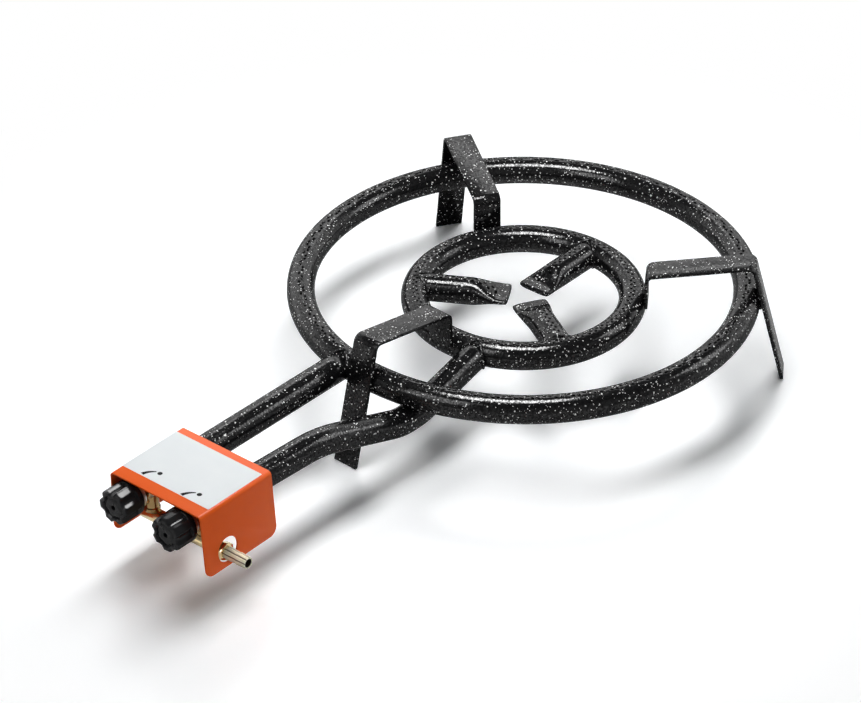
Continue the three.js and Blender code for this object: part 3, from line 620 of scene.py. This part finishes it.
# Weld beads: a rippled seam runs round each tube where it is welded to a ring, under the
# enamel, and a short seam holds each bracket leg.

bead_radius = 0.0013
bead_ripple = 0.00035
bead_points = 72
ripple_pace = 2.1
ripple_drift = 0.7


def weld_bead(name, points, closed=True):
    """A rippled round seam through points, sunk by half into what it joins."""
    outline = bpy.data.curves.new(name, "CURVE")
    outline.dimensions = "3D"
    outline.bevel_depth = bead_radius
    outline.bevel_resolution = 3
    outline.use_fill_caps = not closed
    spline = outline.splines.new("POLY")
    spline.use_cyclic_u = closed
    spline.points.add(len(points) - 1)
    for number, (knot, place) in enumerate(zip(spline.points, points)):
        knot.co = (*place, 1)
        ripple = math.sin(number * ripple_pace) * math.sin(number * ripple_drift)
        knot.radius = 1 + bead_ripple / bead_radius * ripple
    bead = bpy.data.objects.new(name, outline)
    bpy.context.collection.objects.link(bead)
    bpy.ops.object.select_all(action="DESELECT")
    bead.select_set(True)
    bpy.context.view_layer.objects.active = bead
    bpy.ops.object.convert(target="MESH")
    bpy.ops.object.shade_smooth()
    dress(bpy.context.object, name, enamel, "burner", "enamel")


def saddle(landing, direction):
    """The seam round a tube that meets another of the same size squarely at landing."""
    across = direction.cross(Vector((0, 0, 1))).normalized()
    up = across.cross(direction)
    points = []
    for number in range(bead_points):
        angle = 2 * math.pi * number / bead_points
        back = math.sqrt(max(tube_radius ** 2 - (tube_radius * math.sin(angle)) ** 2, 0))
        outward = across * math.cos(angle) + up * math.sin(angle)
        points.append(landing - direction * max(back, bead_radius) + outward * tube_radius)
    return points


weld_bead("outer_feed_weld", saddle(outer_landing, outer_arrival))
weld_bead("inner_feed_weld", saddle(inner_landing, arrival))
for side, bearing in finger_bearings.items():
    outward = on_bearing(math.radians(bearing))
    weld_bead(f"finger_weld_{side}", saddle(inner_centre + inner_radius * outward, outward))

# Pan brackets: flat bar bent twice. The outer leg leans out past the outer ring to the
# ground, the bar on top carries the pan, and the short leg stands on the inner ring.

bracket_bearings = {"front": -92, "right": 34.3, "left": 147}
bracket_side_steps = {"front": 0, "right": -0.008, "left": 0}
bar_width = 0.024
bar_thickness = 0.003
bar_edge = 0.0005
bracket_outer_rise = 0.0395
bracket_inner_rise = 0.025
bracket_foot_splay = 0.028
bracket_bend_radius = 0.0072
bracket_span = 0.09115
inner_leg_end = 0.0065
weld_gap = 0.0003
leg_seam_rise = 0.0045
upper_seam_inset = 0.0012
inner_seam_outset = 0.0015
inner_seam_drop = 0.0006
seam_steps = 8
bend_steps = 8


def face_outwards(piece, merge_distance=0):
    """Merges points within a distance, and turns every face of a piece outwards."""
    in_edit_mode(piece, anything)
    if merge_distance:
        bpy.ops.mesh.remove_doubles(threshold=merge_distance)
    bpy.ops.mesh.normals_make_consistent(inside=False)
    bpy.ops.object.mode_set(mode="OBJECT")


def folded_sheet(corners, width, thickness, bend_radius):
    """Sheet folded along corners in the XZ plane, which give its outside. Its width is along Y."""
    places = [Vector((x, 0, z)) for x, z in corners]
    headings = [(end - start).normalized() for start, end in zip(places, places[1:])]
    turns = [math.acos(before.dot(after)) for before, after in zip(headings, headings[1:])]
    trims = [0, *(bend_radius * math.tan(turn / 2) for turn in turns), 0]
    lengths = [
        (end - start).length - trims[number] - trims[number + 1]
        for number, (start, end) in enumerate(zip(places, places[1:]))
    ]

    def at(end, direction):
        """Chooses the points of the edge where the sheet ends so far."""
        return lambda vertex: (
            abs((vertex.co - end).dot(direction)) < thickness / 100 and (vertex.co - end).length < width
        )

    first = headings[0]
    sheet = start_with(
        bpy.ops.mesh.primitive_plane_add,
        size=1,
        location=places[0] + first * lengths[0] / 2,
        rotation=(0, math.atan2(-first.z, first.x), 0),
    )
    sheet.scale = (lengths[0], width, 1)
    bpy.ops.object.transform_apply(location=True, rotation=True, scale=True)
    end = places[0] + first * lengths[0]
    for turn, heading, following, length in zip(turns, headings, headings[1:], lengths[1:]):
        inward = Vector((-heading.z, 0, heading.x))
        if inward.dot(following) < 0:
            inward = -inward
        centre = end + inward * bend_radius
        axis = heading.cross(following).normalized()
        bend = {"steps": bend_steps, "angle": -turn, "center": centre, "axis": axis}
        edit(sheet, at(end, heading), "EDGE", bpy.ops.mesh.spin, **bend)
        end = centre + Quaternion(axis, turn) @ (end - centre)
        run = {"TRANSFORM_OT_translate": {"value": following * length}}
        edit(sheet, at(end, following), "EDGE", bpy.ops.mesh.extrude_region_move, **run)
        end = end + following * length
    face_outwards(sheet, thickness / 100)
    middle = sum(places, Vector()) / len(places)
    face = sheet.data.polygons[0]
    if face.normal.dot(face.center - middle) < 0:
        sheet.data.flip_normals()
    return sheet


def break_edges(piece, width, angle):
    """Rounds the edges whose faces turn by more than an angle in degrees."""
    limit = math.radians(angle)
    apply_modifier(piece, "BEVEL", width=width, segments=2, limit_method="ANGLE", angle_limit=limit)


def thicken(sheet, thickness, edge):
    """Gives a folded sheet its thickness inwards, and breaks its sharp edges."""
    apply_modifier(sheet, "SOLIDIFY", thickness=thickness, offset=-1)
    break_edges(sheet, edge, 60)
    smooth(40)


leg_height = ring_centre.z + bracket_outer_rise
leg_lean = math.atan(bracket_foot_splay / leg_height)
seat = tube_radius + weld_gap + bar_thickness
bracket_top_reach = (
    outer_ring_radius + (seat - bracket_outer_rise * math.sin(leg_lean)) / math.cos(leg_lean)
)
bracket_inner_reach = bracket_top_reach - bracket_span


def pan_bracket(side, bearing):
    corners = [
        (bracket_top_reach + bracket_foot_splay, -ring_centre.z),
        (bracket_top_reach, bracket_outer_rise),
        (bracket_inner_reach, bracket_inner_rise),
        (bracket_inner_reach, -inner_leg_end),
    ]
    bracket = folded_sheet(corners, bar_width, bar_thickness, bracket_bend_radius)
    thicken(bracket, bar_thickness, bar_edge)
    for vertex in bracket.data.vertices:
        vertex.co.z = max(vertex.co.z, -ring_centre.z)
        vertex.co.y += bracket_side_steps[side]
    bracket.rotation_euler.z = math.radians(bearing)
    bracket.location = ring_centre
    bpy.ops.object.transform_apply(location=True, rotation=True)
    dress(bracket, f"bracket_{side}", enamel, "burner", "enamel", f"pan_bracket_{side}")


def bracket_welds(side, bearing):
    turn = Matrix.Rotation(math.radians(bearing), 3, "Z")
    half = bar_width / 2 - bar_thickness
    middle = bracket_side_steps[side]
    leg_x = outer_ring_radius + tube_radius * math.cos(leg_lean)
    leg_z = tube_radius * math.sin(leg_lean)
    seams = {
        "upper": (leg_x - upper_seam_inset, leg_z + leg_seam_rise),
        "lower": (leg_x, leg_z - leg_seam_rise),
        "inner": (bracket_inner_reach + inner_seam_outset, -inner_leg_end - inner_seam_drop),
    }
    for mark, (x, z) in seams.items():
        seam = [
            ring_centre + turn @ Vector((x, middle + half * (2 * step / seam_steps - 1), z))
            for step in range(seam_steps + 1)
        ]
        weld_bead(f"bracket_weld_{side}_{mark}", seam, closed=False)


for side, bearing in bracket_bearings.items():
    pan_bracket(side, bearing)
    bracket_welds(side, bearing)

# Control box: one sheet of steel folded down at both sides, powder-coated orange. The front,
# the back and the underside are open, and the hose nozzle passes through the right plate.

box_low, box_high = solid_box("control_box")
box_flare = 0.004
sheet_thickness = 0.0015
box_bend_radius = 0.0035
box_edge = 0.0003
plate_corner = 0.008
rail_low, rail_high = solid_box("gas_rail")
rail_centre = (rail_low + rail_high) / 2
nozzle_hole_radius = 0.0108
nozzle_hole_offset = Vector((0, -0.0015, 0.005))


def orange_finish():
    look = {"Specular IOR Level": 0.14}
    finish, tree = new_finish("orange_powder_coat", (0.9, 0.125, 0.013), 0.38, look)
    mottle(tree, noise(tree, 35.0, 3.0), (0.86, 0.112, 0.011), (0.95, 0.14, 0.016))
    emboss(tree, noise(tree, 900.0, 2.0), 0.12, 0.0002)
    return finish


orange = orange_finish()
box_middle_y = (box_low.y + box_high.y) / 2
box_depth = box_high.y - box_low.y
box_corners = [
    (box_high.x, box_low.z),
    (box_high.x - box_flare, box_high.z),
    (box_low.x, box_high.z),
    (box_low.x, box_low.z),
]


def at_the_bottom(vertex):
    return vertex.co.z < box_low.z + sheet_thickness


def round_corners(sheet, chosen, radius, steps):
    """Rounds the chosen corners of a flat sheet."""
    edit(sheet, chosen, "VERT", bpy.ops.mesh.bevel, offset=radius, segments=steps, affect="VERTICES")


control_box = folded_sheet(box_corners, box_depth, sheet_thickness, box_bend_radius)
round_corners(control_box, at_the_bottom, plate_corner, 8)
thicken(control_box, sheet_thickness, box_edge)
hole_cutter = start_with(
    bpy.ops.mesh.primitive_cylinder_add,
    vertices=64,
    radius=nozzle_hole_radius,
    depth=4 * box_flare,
    location=(
        box_high.x,
        rail_centre.y - box_middle_y + nozzle_hole_offset.y,
        rail_centre.z + nozzle_hole_offset.z,
    ),
    rotation=(0, math.pi / 2, 0),
)
apply_modifier(control_box, "BOOLEAN", operation="DIFFERENCE", object=hole_cutter, solver="EXACT")
bpy.data.objects.remove(hole_cutter)
bpy.ops.object.select_all(action="DESELECT")
control_box.select_set(True)
bpy.context.view_layer.objects.active = control_box
smooth(40)
control_box.location.y = box_middle_y
bpy.ops.object.transform_apply(location=True)
dress(control_box, "folded_box", orange, "burner", "orange_paint", "control_box")

# Label: a white vinyl sheet stuck on the box top. It carries only plain control marks, a dot
# for off and a tapering arc for the flame, one pair in front of each tap.

label_thickness = 0.00018
label_corner = 0.0008
mark_height = 0.00005
mark_places = {"left": Vector((-0.0207, -0.4277, 0)), "right": Vector((0.0220, -0.4285, 0))}
dot_radius = 0.0021
dot_offset = Vector((-0.004, 0.0129, 0))
arc_radius = 0.015
arc_start = math.radians(165)
arc_sweep = math.radians(-44)
arc_thick = 0.0036
arc_thin = 0.0011
arc_steps = 14


def label_finish():
    finish, tree = new_finish("white_vinyl", (0.79, 0.83, 0.84), 0.34, {"Specular IOR Level": 0.2})
    mottle(tree, noise(tree, 45.0, 3.0), (0.76, 0.8, 0.82), (0.82, 0.85, 0.86))
    return finish


def ink_finish():
    finish, tree = new_finish("black_ink", (0.008, 0.008, 0.009), 0.6, {"Specular IOR Level": 0.1})
    vary_gloss(tree, noise(tree, 2500.0, 1.0), 0.5, 0.7)
    return finish


ink = ink_finish()
label_low, label_high = solid_box("box_label")
label_middle = (label_low + label_high) / 2
label_size = label_high - label_low
label_place = (label_middle.x, label_middle.y, box_high.z)
label = start_with(bpy.ops.mesh.primitive_plane_add, size=1, location=label_place)
label.scale = (label_size.x, label_size.y, 1)
bpy.ops.object.transform_apply(location=True, scale=True)
round_corners(label, anything, label_corner, 4)
apply_modifier(label, "SOLIDIFY", thickness=label_thickness, offset=1)
dress(label, "label_sheet", label_finish(), "burner", "label", "box_label")
label_top = box_high.z + label_thickness


def print_mark(mark, name):
    """Gives a flat mark its thickness and its ink."""
    apply_modifier(mark, "SOLIDIFY", thickness=mark_height, offset=1)
    dress(mark, name, ink, "burner", "label")


def control_dot(name, place):
    dot = start_with(
        bpy.ops.mesh.primitive_circle_add,
        vertices=32,
        radius=dot_radius,
        fill_type="NGON",
        location=place,
    )
    bpy.ops.object.transform_apply(location=True)
    print_mark(dot, name)


def control_arc(name, centre):
    """A flat arc round its centre that is thick at its start and thins out along its sweep."""
    arc = start_with(bpy.ops.mesh.primitive_grid_add, x_subdivisions=arc_steps, y_subdivisions=1, size=1)
    for vertex in arc.data.vertices:
        share = vertex.co.x + 0.5
        angle = arc_start + arc_sweep * share
        half = (arc_thick + (arc_thin - arc_thick) * share) / 2
        radius = arc_radius + half * math.copysign(1, vertex.co.y)
        vertex.co = (centre.x + radius * math.cos(angle), centre.y + radius * math.sin(angle), label_top)
    face_outwards(arc)
    if arc.data.polygons[0].normal.z < 0:
        arc.data.flip_normals()
    print_mark(arc, name)


for side, place in mark_places.items():
    centre = place + Vector((0, ring_centre.y, label_top))
    control_dot(f"control_dot_{side}", centre + dot_offset)
    control_arc(f"control_arc_{side}", centre)

# Gas rail: a brass tube under both taps, plugged at the left. The hose nozzle is screwed
# into its right end with a fibre washer, and its barbs hold the gas hose.

turned_sides = 56
same_place = 1e-6


def brass_finish(name, dark, light):
    finish, tree = new_finish(name, light, 0.16, {"Metallic": 1.0})
    cloud = noise(tree, 130.0, 4.0)
    mottle(tree, cloud, dark, light)
    vary_gloss(tree, cloud, 0.1, 0.24, (0.3, 0.7))
    place = add_node(tree, "TexCoord").outputs["Object"]
    stretched = add_node(tree, "Mapping", {"Vector": place, "Scale": (4000.0, 150.0, 150.0)})
    grooves = {"Vector": stretched.outputs[0], "Scale": 1.0, "Detail": 2.0}
    emboss(tree, add_node(tree, "TexNoise", grooves).outputs["Fac"], 0.1, 0.0001)
    return finish


brass = brass_finish("bright_brass", (0.88, 0.68, 0.34), (0.98, 0.84, 0.52))


def pale_brass_finish():
    look = {"Metallic": 0.05, "Specular IOR Level": 1.0}
    finish, tree = new_finish("pale_brass", (0.98, 1.0, 0.76), 0.24, look)
    cloud = noise(tree, 130.0, 4.0)
    colour = mix_colours(tree, cloud, (0.96, 0.98, 0.66, 1), (1.0, 1.0, 0.84, 1))
    # Where points are marked for painted shade, at the bottoms of the flutes, the colour is painted dark
    # brown.
    painted_shade = add_node(tree, "Attribute", attribute_name="painted_shade").outputs["Fac"]
    connect(tree, "Base Color", mix_colours(tree, painted_shade, colour, (0.07, 0.045, 0.015, 1)))
    vary_gloss(tree, cloud, 0.14, 0.28)
    return finish


def sleeve(bore, radius, start, end):
    """The stations of a plain sleeve of this bore and radius, from its start to its end."""
    return [(bore, start), (radius, start), (radius, end), (bore, end), (bore, start)]


def turned_piece(stations, centre, axis, sides=turned_sides, edge=0.0002):
    """A turned piece, drawn out through stations: pairs of a radius and a place on the axis."""
    axis = Vector(axis)
    closed = stations[0] == stations[-1]
    radius, place = stations[0]
    piece = start_with(
        bpy.ops.mesh.primitive_circle_add,
        vertices=sides,
        radius=radius,
        fill_type="NOTHING" if closed else "NGON",
        location=centre + axis * place,
        rotation=axis.to_track_quat("Z", "Y").to_euler(),
    )
    bpy.ops.object.transform_apply(location=True, rotation=True)
    in_edit_mode(piece, anything, "EDGE" if closed else "FACE")
    for (last_radius, last_place), (radius, place) in zip(stations, stations[1:]):
        step = axis * (place - last_place)
        bpy.ops.mesh.extrude_region_move(TRANSFORM_OT_translate={"value": step})
        ratio = radius / last_radius
        bpy.ops.transform.resize(value=(ratio, ratio, ratio), center_override=centre + axis * place)
    face_outwards(piece, same_place)
    if edge:
        break_edges(piece, edge, 30)
    smooth(35)
    return piece


rail_radius = (rail_high.z - rail_low.z) / 2
rail_bore = 0.0043


def on_rail(x):
    """The place at this x on the rail's axis."""
    return Vector((x, rail_centre.y, rail_centre.z))


rail_stations = sleeve(rail_bore, rail_radius, 0, rail_high.x - rail_low.x)
rail = turned_piece(rail_stations, on_rail(rail_low.x), (1, 0, 0))
dress(rail, "rail_tube", brass, "burner", "brass", "gas_rail")

plug_low, plug_high = solid_box("rail_end_plug")
plug_head = rail_low.x - plug_low.x
plug_shank = rail_bore * 0.98
plug_stations = [
    (rail_radius * 0.93, 0),
    (rail_radius, plug_head * 0.25),
    (rail_radius, plug_head),
    (plug_shank, plug_head),
    (plug_shank, plug_high.x - plug_low.x),
]
rail_plug = turned_piece(plug_stations, on_rail(plug_low.x), (1, 0, 0))
dress(rail_plug, "rail_plug", brass, "burner", "brass", "rail_end_plug")

nozzle_low, nozzle_high = solid_box("hose_nozzle")
nozzle_bore = 0.0037
nozzle_thread = rail_bore * 0.98
nozzle_root_radius = 0.0049
nozzle_barb_radius = 0.0053
nozzle_barb_length = 0.011
nozzle_barb_count = 2
barb_foot = 0.0012
barb_rise = 0.0016
barb_crest = 0.0022
nozzle_sides = 72
flute_pitch = math.radians(45)
flute_turn = math.radians(26.4)
flute_width = 4 * math.pi / nozzle_sides
flute_depth = 0.0007
# The thickness of the dark sleeve of painted shade inside the nozzle's bore.
shade_sleeve_thickness = 0.0002
hexagon_gap = 0.001
hexagon_length = 0.006
hexagon_flats = 0.0139
hexagon_chamfer = 0.0005
hexagon_edge = 0.00015
hexagon_start = rail_high.x + hexagon_gap
hexagon_end = hexagon_start + hexagon_length
hexagon_radius = hexagon_flats / math.sqrt(3)
hexagon_rim = hexagon_radius * 0.96
hexagon_bore = nozzle_root_radius * 0.97

nozzle_stations = [
    (nozzle_bore, nozzle_low.x),
    (nozzle_thread, nozzle_low.x),
    (nozzle_thread, hexagon_end - hexagon_gap),
    (nozzle_root_radius, hexagon_end),
]
for number in range(nozzle_barb_count):
    barb_start = hexagon_end + number * nozzle_barb_length
    nozzle_stations += [
        (nozzle_root_radius, barb_start + barb_foot),
        (nozzle_barb_radius, barb_start + barb_rise),
        (nozzle_barb_radius, barb_start + barb_crest),
        (nozzle_root_radius, barb_start + nozzle_barb_length),
    ]
nozzle_stations += [(nozzle_bore, nozzle_high.x), (nozzle_bore, nozzle_low.x)]
nozzle = turned_piece(nozzle_stations, on_rail(0), (1, 0, 0), sides=nozzle_sides, edge=0)
# Eight flutes run along the barbs; their bottoms are marked for painted shade.
flute_bottoms = set()
for vertex in nozzle.data.vertices:
    out = vertex.co - on_rail(vertex.co.x)
    off_flute = (math.atan2(out.z, out.y) - flute_turn + math.pi / nozzle_sides) % flute_pitch
    if out.length > nozzle_root_radius * 0.99 and off_flute < flute_width:
        vertex.co -= out.normalized() * flute_depth
        flute_bottoms.add(vertex.index)
mark_grime(nozzle, flute_bottoms)
dress(nozzle, "hose_barbs", pale_brass_finish(), "burner", "brass", "hose_nozzle")


# A thin dark sleeve lines the nozzle's bore: painted shade, put where the bore lies in shade.
def tarnish_finish():
    finish, tree = new_finish("painted_bore_shade", (0.03, 0.022, 0.012), 0.6, {"Metallic": 0.6})
    mottle(tree, noise(tree, 600.0, 3.0), (0.02, 0.014, 0.008), (0.05, 0.036, 0.02))
    return finish


bore_stations = sleeve(nozzle_bore - shade_sleeve_thickness, nozzle_bore, nozzle_low.x, nozzle_high.x - shade_sleeve_thickness)
bore = turned_piece(bore_stations, on_rail(0), (1, 0, 0), edge=0)
dress(bore, "nozzle_bore_shade_sleeve", tarnish_finish(), "burner", "brass")

hexagon_stations = [
    (hexagon_bore, hexagon_start),
    (hexagon_rim, hexagon_start),
    (hexagon_radius, hexagon_start + hexagon_chamfer),
    (hexagon_radius, hexagon_end - hexagon_chamfer),
    (hexagon_rim, hexagon_end),
    (hexagon_bore, hexagon_end),
    (hexagon_bore, hexagon_start),
]
hexagon = turned_piece(hexagon_stations, on_rail(0), (1, 0, 0), sides=6, edge=hexagon_edge)
dress(hexagon, "nozzle_hexagon", brass, "burner", "brass")


def fibre_finish():
    finish, tree = new_finish("fibre_washer", (0.3, 0.12, 0.06), 0.75)
    mottle(tree, noise(tree, 1200.0, 4.0), (0.2, 0.075, 0.04), (0.4, 0.18, 0.1))
    return finish


def refinish(name, finish):
    """Gives a solid that keeps its shape a detailed material."""
    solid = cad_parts[name]
    solid.data.materials.clear()
    solid.data.materials.append(finish)


refinish("nozzle_washer", fibre_finish())

# Gas taps: turned brass bodies that stand on the rail, each with a bonnet plate in front
# held by two screws. The outlet enters the feed tube through a bush.


def zinc_finish():
    finish, tree = new_finish("zinc_plate", (0.6, 0.61, 0.62), 0.32, {"Metallic": 1.0})
    place = add_node(tree, "TexCoord").outputs["Object"]
    spangle = add_node(tree, "TexVoronoi", {"Vector": place, "Scale": 420.0}).outputs["Distance"]
    vary_gloss(tree, spangle, 0.24, 0.42)
    mottle(tree, noise(tree, 90.0, 3.0), (0.5, 0.51, 0.53), (0.68, 0.68, 0.67))
    return finish


zinc = zinc_finish()
# The tap barrels and legs inside the box get a darker copy of the bright brass, as painted shade of the
# box.
shaded_brass = brass_finish("shaded_brass", (0.24, 0.15, 0.06), (0.42, 0.28, 0.13))
tap_sides = ("left", "right")
seat_radius = 0.0096
barrel_radius = 0.009
neck_radius = 0.006
outlet_radius = 0.0045
leg_collar_radius = 0.0066
leg_radius = 0.0056
bonnet_bore = 0.0031
bonnet_thickness = 0.0025


def gas_tap(side):
    low, high = solid_box(f"tap_body_{side}")
    middle_x = (low.x + high.x) / 2
    front = Vector((middle_x, low.y, ring_centre.z))
    flange_radius = (high.x - low.x) / 2
    stations = [
        (flange_radius, 0),
        (flange_radius, 0.004),
        (seat_radius, 0.0042),
        (seat_radius, 0.012),
        (barrel_radius, 0.0124),
        (barrel_radius, 0.0275),
        (neck_radius, 0.029),
        (neck_radius, 0.031),
        (outlet_radius, 0.0312),
        (outlet_radius, 0.041),
    ]
    barrel = turned_piece(stations, front, (0, 1, 0))
    dress(barrel, f"tap_barrel_{side}", shaded_brass, "burner", "brass", f"tap_body_{side}")
    stations = [
        (leg_collar_radius, 0.0045),
        (leg_collar_radius, 0.0078),
        (leg_radius, 0.0084),
        (leg_radius, 0.02),
    ]
    leg = turned_piece(stations, on_rail(middle_x), (0, 0, 1))
    dress(leg, f"tap_leg_{side}", shaded_brass, "burner", "brass")
    plate = sleeve(bonnet_bore, flange_radius, -bonnet_thickness, 0)
    bonnet = turned_piece(plate, front, (0, 1, 0))
    dress(bonnet, f"bonnet_plate_{side}", zinc, "burner", "zinc", f"tap_bonnet_{side}")
    for name in ("bonnet_screw_{}_1", "bonnet_screw_{}_2", "tube_bush_{}"):
        refinish(name.format(side), zinc)
    for name in ("tap_plug_{}", "tap_spindle_{}", "injector_{}"):
        refinish(name.format(side), brass)


for side in tap_sides:
    gas_tap(side)

# Return springs: plain drawn wire, hidden in the taps. In the burner each turns with its plug and gets
# shorter when the knob is pushed in; here each only gets its wire finish and a mesh of its own.


def wire_finish():
    finish, tree = new_finish("spring_wire", (0.42, 0.43, 0.44), 0.28, {"Metallic": 1.0})
    vary_gloss(tree, noise(tree, 700.0, 2.0), 0.2, 0.38)
    return finish


spring_wire = wire_finish()
for side in tap_sides:
    refinish(f"return_spring_{side}", spring_wire)
    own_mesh(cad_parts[f"return_spring_{side}"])

# Carrier bar and its countersunk screws: they hold the box on the feed tubes from below.

for name in ("carrier_bar", "box_screw_1", "box_screw_2"):
    refinish(name, zinc)

# Knobs: black moulded plastic, with six flat-topped lugs round a waisted grip, a groove that
# follows their outline on the face, a small hole in the middle, and a round skirt behind.

lug_count = 6
lug_depth = 0.0027
facet_half_angle = math.radians(12.3)
facet_steps = 4
valley_steps = 8
knob_skirt = 0.0048
knob_wall = 0.0022
knob_cavity = 0.006
knob_edge = 0.0003
lug_turns = {"left": 23, "right": -5}


def plastic_finish():
    look = {"Specular IOR Level": 0.19}
    finish, tree = new_finish("black_knob", (0.012, 0.012, 0.013), 0.2, look)
    soften_rims(tree, (0.45, 0.9), 1.5, 1.06)
    grain = noise(tree, 1500.0, 2.0)
    vary_gloss(tree, grain, 0.13, 0.27)
    emboss(tree, grain, 0.05, 0.0001)
    return finish


knob_plastic = plastic_finish()


def lug_outline(number):
    """A point of the grip's outline: its angle, its cut into the circle, and its depth in a valley."""
    pitch = 2 * math.pi / lug_count
    lug, step = divmod(number, facet_steps + valley_steps)
    if step <= facet_steps:
        angle = facet_half_angle * (2 * step / facet_steps - 1)
        inside = 1 - math.cos(facet_half_angle) / math.cos(angle)
        return lug * pitch + angle, inside, 0
    share = (step - facet_steps) / valley_steps
    angle = facet_half_angle + (pitch - 2 * facet_half_angle) * share
    rise = abs(2 * share - 1)
    return lug * pitch + angle, 0, 1 - rise * rise


def control_knob(side):
    low, high = solid_box(f"knob_{side}")
    radius = (high.x - low.x) / 2
    centre = Vector(((low.x + high.x) / 2, low.y, (low.z + high.z) / 2))
    depth = high.y - low.y
    count = lug_count * (facet_steps + valley_steps)
    grip_end = depth - knob_skirt
    # Each row is a radius, its distance behind the face, and how closely it follows the lugs.
    stations = [
        (0.0017, 0.0034, 0),
        (0.0021, 0.0011, 0),
        (0.0026, 0.0009, 0),
        (0.0074, 0.0009, 0.15),
        (0.0082, 0.0011, 0.3),
        (0.0090, 0.0016, 0.4),
        (0.0098, 0.0016, 0.5),
        (0.0104, 0.0006, 0.6),
        (0.0110, 0.0, 0.7),
        (0.0132, 0.0, 1.0),
        (0.0142, 0.0005, 1.0),
        (0.0147, 0.0014, 1.0),
        (radius, 0.0035, 1.0),
        (radius, grip_end - 0.0012, 1.0),
        (radius, grip_end, 0.75),
        (radius, grip_end + 0.0004, 0.1),
        (radius, grip_end + 0.0007, 0),
        (radius, depth - 0.0004, 0),
        (radius - 0.0004, depth, 0),
        (radius - knob_wall, depth, 0),
        (radius - knob_wall, depth - knob_cavity, 0),
        (0.0052, depth - knob_cavity, 0),
    ]
    knob = turned_piece([station[:2] for station in stations], centre, (0, 1, 0), sides=count, edge=0)
    for station, (reach, place, share) in enumerate(stations):
        for number in range(count):
            angle, inside, valley = lug_outline(number)
            angle += math.radians(lug_turns[side])
            drawn = reach * (1 - inside * share) - lug_depth * valley * share
            vertex = knob.data.vertices[station * count + number]
            vertex.co = centre + Vector((drawn * math.sin(angle), place, drawn * math.cos(angle)))
    face_outwards(knob)
    break_edges(knob, knob_edge, 33)
    smooth(32)
    dress(knob, f"knob_grip_{side}", knob_plastic, f"control_{side}", "black_plastic", f"knob_{side}")


for side in tap_sides:
    control_knob(side)
